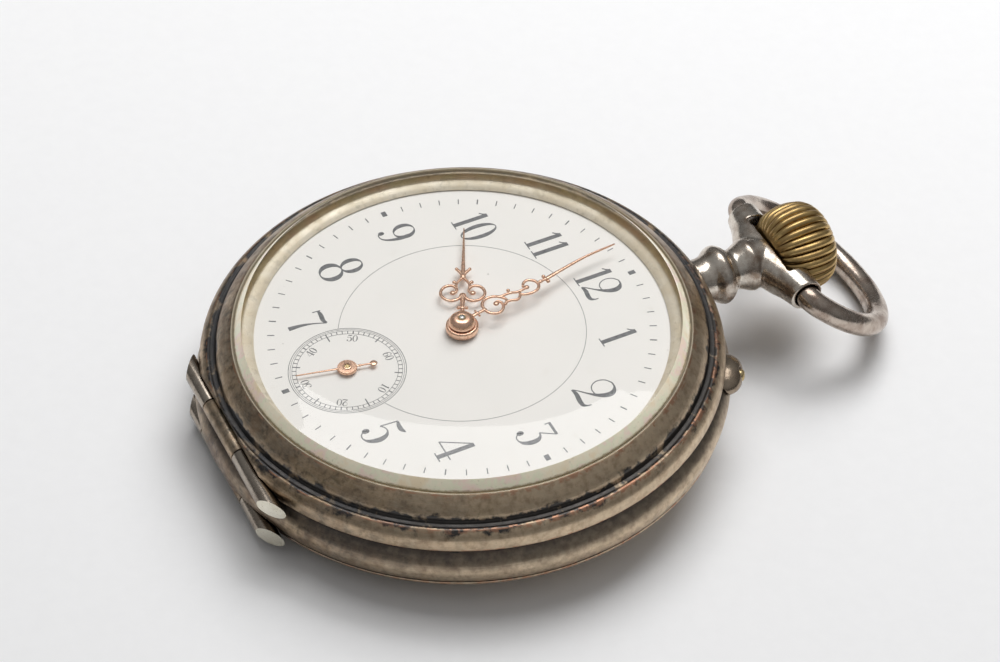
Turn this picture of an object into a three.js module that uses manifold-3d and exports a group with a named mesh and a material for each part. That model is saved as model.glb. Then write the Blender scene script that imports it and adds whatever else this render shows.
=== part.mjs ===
// Open face pocket watch: silver case, enamel dial, stem-wound and pin-set lever movement.
// Millimetres. Z = 0 is the flat middle of the back, +Y points to 12 o'clock and the pendant,
// +X to 3 o'clock and +Z out of the dial.
import * as THREE from 'three';
import { mergeVertices } from 'three/addons/utils/BufferGeometryUtils.js';
import Module from 'manifold-3d';

const wasm = await Module();
wasm.setup();

// ---------------------------------------------------------------- driving dimensions
const ROUND_SIDES = 40;
const SMALL_SIDES = 12;
const ARBOR_SIDES = 8;
const WELD_DISTANCE = 1e-4;
const FIT_GAP = 0.08;

const DIAL_TOP = 10.2;
const DIAL_BOTTOM = 9.3;
const DIAL_RADIUS = 20.6;
const SECONDS_Y = -12.15;

const STEM_Z = 5.7;
const STEM_HOLE_RADIUS = 1.15;
const CROWN_BOTTOM_Y = 34.6;
const BOW_PIVOT_Y = 35.1;
const BOW_FOLD_DEGREES = -37;
const BOW_WIRE_RADIUS = 1.25;

const BEZEL_HINGE = { y: -24.7, z: 7.3 };
const REAR_HINGE = { y: -24.9, z: 3.0 };
const HINGE_HALF_LENGTH = 12.6;
const HINGE_TRIM_RADIUS = 26.8;
const HINGE_BORE_HALF_LENGTH = 8;
const HINGE_PIN_HALF_LENGTH = 7.9;
const HINGE_FLAT_HALF_LENGTH = 11;
const KNUCKLE_RADIUS = 0.95;
const KNUCKLE_BORE = 0.45;
const HINGE_PIN_RADIUS = 0.36;
const HINGE_CHANNEL_RADIUS = 1.06;

const BUTTON_DEGREES = 60;
const BUTTON_Z = 5.9;
const BUTTON_RADIUS = 0.62;

const PLATE_BOTTOM = 6.4;
const PLATE_TOP = 8.2;
const PLATE_RADIUS = 20.9;
const BRIDGE_BOTTOM = 2.9;
const BRIDGE_TOP = 3.9;
const BRIDGE_RADIUS = 18.2;
const FOOT_TOP = 6.36;

const BARREL = { x: 8.0, y: 4.62 };
const THIRD = { x: -2.25, y: -6.46 };
const FOURTH = { x: 0, y: SECONDS_Y };
const ESCAPE = { x: -4.9, y: -14.12 };
const PALLET = { x: -6.89, y: -10.88 };
const BALANCE = { x: -9.6, y: -6.6 };
const CROWN_WHEEL = { x: 0, y: 13.02 };
const MINUTE_WHEEL = { x: 0.6, y: 4.76 };
const SETTING_WHEEL = { x: 0, y: 10.33 };
const CLICK = { x: 14.62, y: 9.98 };
const LEVER = { x: 4.6, y: 16.0 };
const COCK_FOOT = { x: -17.9, y: -4.4 };
const PALLET_FOOT = { x: -10.3, y: -12.97 };

const HOUR_HAND_DEGREES = 154;
const MINUTE_HAND_DEGREES = 99.9;
const SECONDS_HAND_DEGREES = -103;

// ---------------------------------------------------------------- finishes
const LOOKS = {
  agedSilver: { color: 0x8a8078, metalness: 1, roughness: 0.35 },
  brightSilver: { color: 0xb4aca2, metalness: 1, roughness: 0.28 },
  enamel: { color: 0xf3f1ea, metalness: 0, roughness: 0.12 },
  glass: { color: 0xffffff, metalness: 0, roughness: 0.02, transparent: true, opacity: 0.3 },
  roseGold: { color: 0xc98a62, metalness: 1, roughness: 0.3 },
  brass: { color: 0xb08d4c, metalness: 1, roughness: 0.32 },
  gilt: { color: 0xcfae6c, metalness: 1, roughness: 0.35 },
  steel: { color: 0x9a9ea4, metalness: 1, roughness: 0.22 },
  bluedSteel: { color: 0x2b3a66, metalness: 1, roughness: 0.25 },
};

// ---------------------------------------------------------------- solids from three.js shapes
function solid(geometry) {
  const bare = geometry.clone();
  bare.deleteAttribute('normal');
  bare.deleteAttribute('uv');
  const merged = mergeVertices(bare, WELD_DISTANCE);
  const { array } = merged.attributes.position;
  const corner = (i) => new THREE.Vector3(array[3 * i], array[3 * i + 1], array[3 * i + 2]);
  const triangles = [];
  let volume = 0;
  for (let i = 0; i < merged.index.count; i += 3) {
    const [a, b, c] = [merged.index.getX(i), merged.index.getX(i + 1), merged.index.getX(i + 2)];
    if (a === b || b === c || c === a) continue;
    triangles.push([a, b, c]);
    volume += corner(a).dot(corner(b).cross(corner(c)));
  }
  const outward = volume < 0 ? triangles.map(([a, b, c]) => [a, c, b]) : triangles;
  return new wasm.Manifold(new wasm.Mesh({
    numProp: 3,
    vertProperties: new Float32Array(array),
    triVerts: new Uint32Array(outward.flat()),
  }));
}

const radians = (degrees) => THREE.MathUtils.degToRad(degrees);
const union = (solids) => solids.reduce((joined, next) => joined.add(next));
const without = (body, cutters) => cutters.reduce((left, cutter) => left.subtract(cutter), body);

function polar(radius, degrees) {
  return { x: radius * Math.cos(radians(degrees)), y: radius * Math.sin(radians(degrees)) };
}

// A profile of [radius, height] pairs; it closes on itself unless it starts and ends on the axis.
function latheGeometry(profile, sides) {
  const points = profile.map(([radius, height]) => new THREE.Vector2(radius, height));
  if (profile[0][0] > 0 || profile.at(-1)[0] > 0) points.push(points[0].clone());
  return new THREE.LatheGeometry(points, sides);
}

function turned(profile, place = { x: 0, y: 0 }, sides = ROUND_SIDES) {
  return solid(latheGeometry(profile, sides).rotateX(Math.PI / 2).translate(place.x, place.y, 0));
}

function turnedOnStem(profile, sides = SMALL_SIDES) {
  return solid(latheGeometry(profile, sides).translate(0, 0, STEM_Z));
}

function rod(radius, low, high, place = { x: 0, y: 0 }, sides = SMALL_SIDES) {
  return turned([[0, low], [radius, low], [radius, high], [0, high]], place, sides);
}

function rodAlongX(radius, left, right, { y, z }, sides = SMALL_SIDES) {
  const cylinder = new THREE.CylinderGeometry(radius, radius, right - left, sides);
  return solid(cylinder.rotateZ(Math.PI / 2).translate((left + right) / 2, y, z));
}

function box(x0, x1, y0, y1, z0, z1) {
  const block = new THREE.BoxGeometry(x1 - x0, y1 - y0, z1 - z0);
  return solid(block.translate((x0 + x1) / 2, (y0 + y1) / 2, (z0 + z1) / 2));
}

function outline(points) {
  return new THREE.Shape(points.map(([x, y]) => new THREE.Vector2(x, y)));
}

function extruded(shape, low, high, place = { x: 0, y: 0 }, degrees = 0) {
  const geometry = new THREE.ExtrudeGeometry(shape, {
    depth: high - low, bevelEnabled: false, curveSegments: 8,
  });
  return solid(geometry.rotateZ(radians(degrees)).translate(place.x, place.y, low));
}

// A solid swept along a list of points with a round section.
function wire(points, radius, steps, sides) {
  const section = new THREE.Shape();
  for (let i = 0; i < sides; i += 1) {
    const corner = polar(radius, (360 * i) / sides);
    if (i === 0) section.moveTo(corner.x, corner.y);
    else section.lineTo(corner.x, corner.y);
  }
  section.closePath();
  const extrudePath = new THREE.CatmullRomCurve3(points, false, 'centripetal');
  return new THREE.ExtrudeGeometry(section, { steps, extrudePath, bevelEnabled: false });
}

// ---------------------------------------------------------------- wheels
const TOOTH_SHORTENING = 0.03;

// Teeth stop just inside the pitch circle, so wheels that mesh never touch.
function gearPoints(teeth, module) {
  const tip = (teeth * module) / 2 - TOOTH_SHORTENING;
  const root = tip - 1.6 * module;
  const points = [];
  for (let i = 0; i < teeth; i += 1) {
    const step = 360 / teeth;
    for (const [radius, part] of [[root, 0], [tip, 0.5]]) {
      const point = polar(radius, step * (i + part));
      points.push([point.x, point.y]);
    }
  }
  return points;
}

function ringSector(inner, outer, startDegrees, endDegrees, parts = 3) {
  const path = new THREE.Shape();
  const points = [];
  for (let i = 0; i <= parts; i += 1) {
    points.push(polar(outer, startDegrees + ((endDegrees - startDegrees) * i) / parts));
  }
  for (let i = parts; i >= 0; i -= 1) {
    points.push(polar(inner, startDegrees + ((endDegrees - startDegrees) * i) / parts));
  }
  path.setFromPoints(points.map((point) => new THREE.Vector2(point.x, point.y)));
  path.closePath();
  return path;
}

// A wheel blank from its outline, crossed out between its spokes.
function spokedShape(points, hubRadius, rimRadius, spokes, spokeDegrees) {
  const shape = outline(points);
  const step = 360 / spokes;
  for (let i = 0; i < spokes; i += 1) {
    const start = i * step + spokeDegrees / 2;
    shape.holes.push(ringSector(hubRadius, rimRadius, start, start + step - spokeDegrees));
  }
  return shape;
}

// Arbor with a pivot at each end, given as [radius, low, high] stretches from bottom to top.
function arbor(stretches, place, sides = ARBOR_SIDES) {
  const profile = [[0, stretches[0][1]]];
  for (const [radius, low, high] of stretches) profile.push([radius, low], [radius, high]);
  profile.push([0, stretches.at(-1)[2]]);
  return turned(profile, place, sides);
}

const SPIRAL_PARTS = 12;

function spiral(innerRadius, outerRadius, turns, thickness, low, high, place) {
  const parts = Math.round(turns * SPIRAL_PARTS);
  const inside = [];
  const outside = [];
  for (let i = 0; i <= parts; i += 1) {
    const radius = innerRadius + ((outerRadius - innerRadius) * i) / parts;
    const inner = polar(radius, (360 * turns * i) / parts);
    const outer = polar(radius + thickness, (360 * turns * i) / parts);
    inside.push([inner.x, inner.y]);
    outside.unshift([outer.x, outer.y]);
  }
  return extruded(outline([...inside, ...outside]), low, high, place);
}

// ---------------------------------------------------------------- the assembly
const watch = new THREE.Group();

function piece(name, body, look) {
  const { vertProperties, triVerts } = body.getMesh();
  const geometry = new THREE.BufferGeometry();
  geometry.setAttribute('position', new THREE.BufferAttribute(new Float32Array(vertProperties), 3));
  geometry.setIndex(new THREE.BufferAttribute(new Uint32Array(triVerts), 1));
  geometry.computeVertexNormals();
  const mesh = new THREE.Mesh(geometry, new THREE.MeshStandardMaterial(look));
  mesh.name = name;
  watch.add(mesh);
}

// ---------------------------------------------------------------- case
const BEZEL_OUTER = [
  [22.12, 11.2], [22.35, 11.42], [22.75, 11.14], [23.35, 10.62], [23.85, 9.9], [24.05, 9.25],
  [24.7, 9.25], [25.3, 8.85], [25.65, 8.2], [25.65, 7.3],
];
const BAND_OUTER = [[25.0, 7.1], [24.95, 6.8], [25.75, 6.2], [26.3, 4.9], [26.2, 3.9], [26.0, 3.45]];
const REAR_OUTER = [[26.0, 3.35], [26.0, 3.1], [25.4, 2.6], [23.0, 1.6], [18.0, 0.55], [13.5, 0.16], [9.0, 0]];

const bezelChannel = rodAlongX(
  HINGE_CHANNEL_RADIUS, -HINGE_HALF_LENGTH - 0.1, HINGE_HALF_LENGTH + 0.1, BEZEL_HINGE);
const rearChannel = rodAlongX(
  HINGE_CHANNEL_RADIUS, -HINGE_HALF_LENGTH - 0.1, HINGE_HALF_LENGTH + 0.1, REAR_HINGE);

// The whole closed case grown by the fit gap, to trim what is soldered onto it.
const caseEnvelope = turned([
  [0, -0.1],
  ...[...REAR_OUTER].reverse().map(([radius, z]) => [radius + FIT_GAP, z - FIT_GAP]),
  ...[...BAND_OUTER].reverse().map(([radius, z]) => [radius + FIT_GAP, z]),
  ...[...BEZEL_OUTER].reverse().map(([radius, z]) => [radius + FIT_GAP, z]),
  [0, 12],
]);

// Turns a shape drawn along +Y to point outwards through the push-piece.
function alongButton(geometry) {
  return solid(geometry.rotateZ(radians(BUTTON_DEGREES - 90)).translate(0, 0, BUTTON_Z));
}

function buttonLathe(profile, sides = SMALL_SIDES) {
  return alongButton(latheGeometry(profile, sides));
}

const bandRing = turned([
  [24.4, 8.6], [24.4, 7.1], ...BAND_OUTER, [24.55, 3.45], [24.55, 4.1],
  [20.3, 4.1], [20.3, 6.3], [21.2, 6.3], [21.2, 8.6],
]);
const stemHole = turnedOnStem([[0, 18], [STEM_HOLE_RADIUS, 18], [STEM_HOLE_RADIUS, 28], [0, 28]]);
const buttonHole = buttonLathe([[0, 19], [0.75, 19], [0.75, 28], [0, 28]]);
piece('case_band', without(bandRing, [stemHole, buttonHole, bezelChannel, rearChannel]), LOOKS.agedSilver);

const bezelRing = turned([
  ...BEZEL_OUTER, [24.6, 7.3], [24.6, 8.72], [20.72, 8.72], [20.72, 10.3], [20.2, 10.3], [22.02, 11.12],
]);
const bezelFlat = box(-HINGE_FLAT_HALF_LENGTH, HINGE_FLAT_HALF_LENGTH, -27, -24.5, 6.8, 10.1);
piece('bezel', without(bezelRing, [bezelChannel, bezelFlat]), LOOKS.agedSilver);

piece('crystal', turned([
  [0, 12.55], [12, 12.4], [18.5, 12.0], [20.9, 11.42], [21.2, 11.24], [22.04, 11.24],
  [22.04, 11.4], [21.28, 12.3], [16, 12.95], [8, 13.25], [0, 13.35],
]), LOOKS.glass);

// The outer ends of each hinge are filed off to the round of the case, and its bore stops short of them.
const caseRound = rod(HINGE_TRIM_RADIUS, 0, 12, { x: 0, y: 0 }, 120);
function knuckle(name, left, right, hinge, look) {
  const tube = rodAlongX(KNUCKLE_RADIUS, left, right, hinge).intersect(caseRound);
  const bore = rodAlongX(KNUCKLE_BORE, -HINGE_BORE_HALF_LENGTH, HINGE_BORE_HALF_LENGTH, hinge, 12);
  piece(name, tube.subtract(bore), look);
}

function hingePin(name, hinge) {
  piece(name, rodAlongX(HINGE_PIN_RADIUS, -HINGE_PIN_HALF_LENGTH, HINGE_PIN_HALF_LENGTH, hinge, 12), LOOKS.steel);
}

knuckle('bezel_knuckle_left', -HINGE_HALF_LENGTH, -4.05, BEZEL_HINGE, LOOKS.brightSilver);
knuckle('bezel_knuckle_centre', -3.95, 3.25, BEZEL_HINGE, LOOKS.agedSilver);
knuckle('bezel_knuckle_right', 3.35, HINGE_HALF_LENGTH, BEZEL_HINGE, LOOKS.brightSilver);
hingePin('bezel_hinge_pin', BEZEL_HINGE);

knuckle('rear_knuckle_left', -HINGE_HALF_LENGTH, -5.05, REAR_HINGE, LOOKS.brightSilver);
knuckle('cuvette_knuckle', -4.95, -1.55, REAR_HINGE, LOOKS.agedSilver);
knuckle('rear_cover_knuckle', -1.45, 4.95, REAR_HINGE, LOOKS.agedSilver);
knuckle('rear_knuckle_right', 5.05, HINGE_HALF_LENGTH, REAR_HINGE, LOOKS.brightSilver);
hingePin('rear_hinge_pin', REAR_HINGE);

const rearShell = turned([
  [0, 0], [9.0, 0], ...[...REAR_OUTER].reverse().slice(1),
  [25.5, 3.35], [25.0, 2.95], [22.8, 2.15], [18.0, 1.12], [9.0, 0.6], [0, 0.6],
]);
const rearFlat = box(-HINGE_FLAT_HALF_LENGTH, HINGE_FLAT_HALF_LENGTH, -27, -24.5, 1.9, 4);
piece('rear_cover', without(rearShell, [rearChannel, rearFlat]), LOOKS.agedSilver);

const cuvetteShell = turned([
  [0, 1.0], [10, 1.15], [18, 1.75], [22.5, 2.6], [24.2, 3.45], [24.4, 3.5], [24.4, 3.9], [24.1, 3.9],
  [24.0, 3.75], [22.3, 2.98], [18, 2.15], [10, 1.55], [0, 1.4],
]);
const cuvetteFlat = box(-HINGE_FLAT_HALF_LENGTH, HINGE_FLAT_HALF_LENGTH, -27, -24.1, 2, 4.5);
piece('cuvette', without(cuvetteShell, [rearChannel, cuvetteFlat]), LOOKS.brightSilver);

// ---------------------------------------------------------------- pendant, bow and crown
const pendantNeck = turnedOnStem([
  [0, 24], [2.3, 24], [2.3, 26.6], [2.5, 27.4], [2.95, 28.0], [3.08, 28.6], [2.7, 29.3], [2.1, 30.2],
  [2.45, 31.1], [2.75, 31.8], [2.5, 32.6], [2.3, 34.0], [0, 34.0],
]);
const HEAD_HALF_WIDTH = 6.6;
const headArms = solid(wire([
  new THREE.Vector3(-HEAD_HALF_WIDTH, BOW_PIVOT_Y, STEM_Z), new THREE.Vector3(-4.4, 34.75, STEM_Z),
  new THREE.Vector3(0, 33.7, STEM_Z), new THREE.Vector3(4.4, 34.75, STEM_Z),
  new THREE.Vector3(HEAD_HALF_WIDTH, BOW_PIVOT_Y, STEM_Z),
], 2.15, 16, SMALL_SIDES));
const crownRoom = turnedOnStem([[0, 34.42], [4.85, 34.42], [4.85, 42], [0, 42]], 32);
const stemBore = turnedOnStem([
  [0, 23], [STEM_HOLE_RADIUS, 23], [STEM_HOLE_RADIUS, 36], [0, 36]]);
const bowSocket = { y: BOW_PIVOT_Y, z: STEM_Z };
piece('pendant', without(pendantNeck.add(headArms), [
  caseEnvelope, crownRoom, stemBore,
  rodAlongX(1.5, -8, -5.0, bowSocket), rodAlongX(1.5, 5.0, 8, bowSocket),
]), LOOKS.brightSilver);

// The bow is drawn flat, with its pivot at the origin, then folded back about the pivot.
const BOW_OVAL = { centre: 5.1, halfWidth: 9.5, halfHeight: 8.25, startDegrees: -30 };
const bowPath = [new THREE.Vector3(5.3, 0, 0), new THREE.Vector3(6.75, 0, 0), new THREE.Vector3(7.5, 0.22, 0)];
for (let i = 0; i <= 16; i += 1) {
  const degrees = BOW_OVAL.startDegrees + ((180 - 2 * BOW_OVAL.startDegrees) * i) / 16;
  const x = BOW_OVAL.halfWidth * Math.cos(radians(degrees));
  const y = BOW_OVAL.centre + BOW_OVAL.halfHeight * Math.sin(radians(degrees));
  bowPath.push(new THREE.Vector3(x, y, 0));
}
bowPath.push(new THREE.Vector3(-7.5, 0.22, 0), new THREE.Vector3(-6.75, 0, 0), new THREE.Vector3(-5.3, 0, 0));
const bowWire = wire(bowPath, BOW_WIRE_RADIUS, 42, 10);
bowWire.rotateX(radians(BOW_FOLD_DEGREES)).translate(0, BOW_PIVOT_Y, STEM_Z);
piece('bow', solid(bowWire), LOOKS.brightSilver);

// Ribs alternate with flutes around the crown, deepest where it is widest.
const RIB_COUNT = 28;
function crownBody() {
  const profile = [
    [0, CROWN_BOTTOM_Y], [2.4, CROWN_BOTTOM_Y], [3.7, 35.3], [4.45, 36.9], [4.65, 38.7],
    [4.25, 40.1], [3.1, 41.05], [1.6, 41.3], [0, 41.3],
  ];
  const geometry = latheGeometry(profile, 2 * RIB_COUNT);
  const { position } = geometry.attributes;
  for (let i = 0; i < position.count; i += 1) {
    const [x, z] = [position.getX(i), position.getZ(i)];
    const step = Math.round((Math.atan2(z, x) / Math.PI) * RIB_COUNT);
    const flute = step % 2 === 0 || Math.hypot(x, z) < 2.5 ? 1 : 0.93;
    position.setX(i, x * flute);
    position.setZ(i, z * flute);
  }
  return solid(geometry.translate(0, 0, STEM_Z));
}
piece('crown', crownBody(), LOOKS.brass);
piece('winding_stem', turnedOnStem([
  [0, 11.8], [0.4, 11.8], [0.4, 12.6], [0.6, 12.6], [0.6, 17.6], [0.9, 17.6], [0.9, 34.5], [0, 34.5],
]), LOOKS.steel);

function stemPinion(name, teeth, module, start, end, extra) {
  const geometry = new THREE.ExtrudeGeometry(outline(gearPoints(teeth, module)), {
    depth: end - start, bevelEnabled: false,
  });
  const blank = solid(geometry.rotateX(Math.PI / 2).translate(0, end, STEM_Z));
  const bore = turnedOnStem([[0, start - 1], [0.7, start - 1], [0.7, end + 1], [0, end + 1]]);
  piece(name, without(blank, [...extra, bore]), LOOKS.steel);
}
const pinionGroove = turnedOnStem([[0.9, 13.5], [2, 13.5], [2, 14.3], [0.9, 14.3]]);
stemPinion('winding_pinion', 14, 0.245, 15.8, 17.5, []);
stemPinion('sliding_pinion', 12, 0.22, 12.8, 15.0, [pinionGroove]);

// ---------------------------------------------------------------- push-piece and setting lever
const guardBlank = new THREE.CylinderGeometry(1, 1, 3.4, 24).scale(2.7, 1, 1.35).translate(0, 25.6, 0);
const guardTip = buttonLathe([[1.05, 26.9], [4, 26.3], [4, 29], [1.05, 29]], 24);
piece('push_guard', without(alongButton(guardBlank), [
  caseEnvelope, guardTip, buttonLathe([[0, 20], [0.85, 20], [0.85, 29], [0, 29]]),
]), LOOKS.brightSilver);
piece('push_button', buttonLathe([
  [0, 19.95], [0.55, 19.95], [BUTTON_RADIUS, 20.1], [BUTTON_RADIUS, 27.3], [0.45, 27.65], [0, 27.7],
]), LOOKS.brass);
const leverBlank = extruded(outline([
  [9.75, 16.95], [9.55, 17.25], [4.6, 16.75], [3.9, 16.2], [1.95, 14.35], [1.95, 13.95], [4.75, 15.25],
]), 5.55, 5.9);
piece('setting_lever', leverBlank.subtract(rod(0.3, 5, 6.2, LEVER, 8)), LOOKS.steel);

// ---------------------------------------------------------------- dial and hands
const dialBlank = turned([
  [0, DIAL_BOTTOM], [DIAL_RADIUS, DIAL_BOTTOM], [DIAL_RADIUS, DIAL_TOP], [0, DIAL_TOP]]);
piece('dial', without(dialBlank, [
  rod(1.3, DIAL_BOTTOM - 1, DIAL_TOP + 1),
  rod(0.5, DIAL_BOTTOM - 1, DIAL_TOP + 1, FOURTH),
]), LOOKS.enamel);

function ring(x, y, outerRadius, innerRadius, low, high) {
  return rod(outerRadius, low, high, { x, y }).subtract(rod(innerRadius, low - 1, high + 1, { x, y }, 8));
}

// Hands are drawn pointing along +X from the origin, then turned and placed.
function hand(name, parts, bore, degrees, place) {
  const drilled = union(parts).subtract(rod(bore, DIAL_TOP, 14));
  piece(name, drilled.rotate([0, 0, degrees]).translate([place.x, place.y, 0]), LOOKS.roseGold);
}
const CENTRE = { x: 0, y: 0 };
const hourSheet = [10.8, 11.0];
hand('hour_hand', [
  rod(1.5, 10.42, 11.12),
  extruded(outline([[1, -0.25], [6.8, -0.22], [7.1, -0.6], [13.9, -0.03],
    [13.9, 0.03], [7.1, 0.6], [6.8, 0.22], [1, 0.25]]), ...hourSheet),
  ring(4.45, 1.12, 1.0, 0.72, ...hourSheet),
  ring(4.45, -1.12, 1.0, 0.72, ...hourSheet),
  ring(6.2, 0.45, 0.55, 0.3, ...hourSheet),
  ring(6.2, -0.45, 0.55, 0.3, ...hourSheet),
], 1.12, HOUR_HAND_DEGREES, CENTRE);
const minuteSheet = [11.4, 11.58];
hand('minute_hand', [
  rod(1.38, 11.2, 12.02),
  extruded(outline([[1, -0.22], [2.8, -0.18], [2.8, 0.18], [1, 0.22]]), ...minuteSheet),
  ring(3.84, 0, 1.15, 0.88, ...minuteSheet),
  extruded(outline([[4.8, -0.4], [7.7, -0.3], [7.7, 0.3], [4.8, 0.4]]), ...minuteSheet),
  ring(8.4, 0, 0.9, 0.64, ...minuteSheet),
  extruded(outline([[9.15, -0.35], [10.3, -0.45], [10.5, -0.2], [18.6, -0.03],
    [18.6, 0.03], [10.5, 0.2], [10.3, 0.45], [9.15, 0.35]]), ...minuteSheet),
], 0.72, MINUTE_HAND_DEGREES, CENTRE);
const secondsSheet = [10.5, 10.64];
hand('seconds_hand', [
  rod(0.96, 10.42, 10.7),
  extruded(outline([[-2.4, -0.1], [5.1, -0.04], [5.1, 0.04], [-2.4, 0.1]]), ...secondsSheet),
  rod(0.38, ...secondsSheet, { x: -2.57, y: 0 }),
], 0.28, SECONDS_HAND_DEGREES, FOURTH);

// ---------------------------------------------------------------- plates, bridges and cocks
function drilledDown(body, holes) {
  return without(body, holes.map(([radius, place]) => rod(radius, 0, 9, place, ARBOR_SIDES)));
}

const plateBlank = turned([[0, PLATE_BOTTOM], [PLATE_RADIUS, PLATE_BOTTOM], [PLATE_RADIUS, PLATE_TOP],
  [0, PLATE_TOP]]);
const keylessSlot = box(-2.0, 2.0, 11.6, 22, PLATE_BOTTOM - 1, PLATE_TOP + 1);
const buttonSlot = buttonLathe([[0, 18], [1.0, 18], [1.0, 22], [0, 22]]);
piece('main_plate', drilledDown(without(plateBlank, [keylessSlot, buttonSlot]), [
  [0.6, CENTRE], [0.3, THIRD], [0.4, FOURTH], [0.3, ESCAPE], [0.25, PALLET], [0.3, BALANCE],
  [0.75, BARREL], [0.5, MINUTE_WHEEL], [0.5, SETTING_WHEEL],
]), LOOKS.gilt);

function arcPoints(radius, startDegrees, endDegrees, parts = 10) {
  const points = [];
  for (let i = 0; i <= parts; i += 1) {
    const point = polar(radius, startDegrees + ((endDegrees - startDegrees) * i) / parts);
    points.push([point.x, point.y]);
  }
  return points;
}

const BARREL_FEET = [polar(17.2, -22), polar(17.3, 52), polar(17.2, 112)];
const TRAIN_FEET = [polar(17, -40), { x: 4.6, y: -16.5 }];
const SCREW_HOLE_RADIUS = 0.45;

function bridge(shape, feet) {
  const plate = extruded(shape, BRIDGE_BOTTOM, BRIDGE_TOP);
  return union([plate, ...feet.map((foot) => rod(0.8, BRIDGE_TOP - 0.5, FOOT_TOP, foot))]);
}

const barrelBridgeShape = outline([
  ...arcPoints(BRIDGE_RADIUS, -28, 118), [-4.9, 8.5], [-0.6, 3.0], [4.2, -1.9]]);
const crownWheelFloor = rod(5.2, BRIDGE_TOP - 0.02, 4.2, CROWN_WHEEL, 24)
  .subtract(box(-6, 6, 15.55, 20, 3, 5));
const contrateSlot = turned([[3.1, 2], [4.75, 2], [4.75, BRIDGE_TOP], [3.1, BRIDGE_TOP]], CROWN_WHEEL, 24);
const windingWindow = box(-2.0, 2.0, 15.55, 17.9, BRIDGE_TOP - 0.4, 5);
piece('barrel_bridge', drilledDown(
  without(bridge(barrelBridgeShape, BARREL_FEET), [contrateSlot, windingWindow]).add(crownWheelFloor),
  [[SCREW_HOLE_RADIUS, BARREL_FEET[0]], [1.2, BARREL], [SCREW_HOLE_RADIUS, CROWN_WHEEL],
    [0.35, CLICK]],
), LOOKS.gilt);

const trainBridgeShape = outline([
  ...arcPoints(BRIDGE_RADIUS, -112, -32), [3.9, -2.5], [-0.9, 2.3], [-2.2, 0.4], [-3.6, -6.2], [-6.5, -13.2]]);
piece('train_bridge', drilledDown(bridge(trainBridgeShape, TRAIN_FEET), [
  [0.3, CENTRE], [0.25, THIRD], [0.25, FOURTH], [0.25, ESCAPE],
  [SCREW_HOLE_RADIUS, TRAIN_FEET[0]],
]), LOOKS.gilt);

// An arm with round ends between a foot and the bearing it carries.
function cockArm(foot, footRadius, bearing, bearingRadius, low, high) {
  const along = Math.atan2(bearing.y - foot.y, bearing.x - foot.x);
  const across = { x: -Math.sin(along), y: Math.cos(along) };
  const bar = outline([
    [foot.x + across.x * footRadius, foot.y + across.y * footRadius],
    [foot.x - across.x * footRadius, foot.y - across.y * footRadius],
    [bearing.x - across.x * bearingRadius, bearing.y - across.y * bearingRadius],
    [bearing.x + across.x * bearingRadius, bearing.y + across.y * bearingRadius],
  ]);
  return union([
    extruded(bar, low, high), rod(footRadius, low, high, foot), rod(bearingRadius, low, high, bearing)]);
}

piece('balance_cock', drilledDown(union([
  cockArm(COCK_FOOT, 1.5, BALANCE, 1.3, BRIDGE_BOTTOM, 3.55),
  rod(1.5, 3.0, FOOT_TOP, COCK_FOOT),
]), [[0.25, BALANCE], [SCREW_HOLE_RADIUS, COCK_FOOT]]), LOOKS.gilt);
piece('pallet_cock', drilledDown(union([
  cockArm(PALLET_FOOT, 0.9, PALLET, 0.75, 4.75, 5.2),
  rod(0.9, 4.8, FOOT_TOP, PALLET_FOOT),
]), [[0.22, PALLET]]), LOOKS.gilt);

function screw(name, place, headRadius, headLow, headHigh, shankRadius, shankHigh) {
  const body = arbor([[headRadius, headLow, headHigh], [shankRadius, headHigh, shankHigh]], place);
  const slot = box(place.x - headRadius - 1, place.x + headRadius + 1, place.y - 0.12, place.y + 0.12,
    headLow - 1, headLow + 0.15);
  piece(name, body.subtract(slot), LOOKS.bluedSteel);
}
screw('case_screw_left', polar(19.5, 150), 1.2, 3.5, 4.02, 0.5, 6.3);
screw('case_screw_right', polar(19.5, 330), 1.2, 3.5, 4.02, 0.5, 6.3);
screw('barrel_bridge_screw', BARREL_FEET[0], 0.8, 2.4, 2.85, 0.35, 6.2);
screw('train_bridge_screw', TRAIN_FEET[0], 0.8, 2.4, 2.85, 0.35, 6.2);
screw('balance_cock_screw', COCK_FOOT, 0.8, 2.5, 2.85, 0.35, 6.2);
screw('crown_wheel_screw', CROWN_WHEEL, 1.4, 1.9, 2.15, 0.35, 4.3);
screw('ratchet_screw', BARREL, 1.5, 1.85, 2.15, 0.35, 4.0);

// ---------------------------------------------------------------- winding work and barrel
const crownWheelDisc = extruded(outline(gearPoints(31, 0.3)), 2.2, 2.8, CROWN_WHEEL);
const contrateTeeth = turned([[3.25, 2.7], [4.2, 2.7], [4.2, 3.82], [3.25, 3.82]], CROWN_WHEEL, 31);
piece('crown_wheel', drilledDown(crownWheelDisc.add(contrateTeeth), [[0.42, CROWN_WHEEL]]), LOOKS.steel);
piece('ratchet_wheel', drilledDown(
  extruded(outline(gearPoints(46, 0.3)), 2.2, 2.8, BARREL), [[0.42, BARREL]]), LOOKS.steel);
piece('barrel_arbor', turned([
  [0.42, 2.86], [1.05, 2.86], [1.05, 4.7], [1.7, 4.7], [1.7, 5.5], [0.65, 5.5], [0.65, 6.9], [0, 6.9],
  [0, 4.4], [0.42, 4.4],
], BARREL, SMALL_SIDES), LOOKS.steel);

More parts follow.
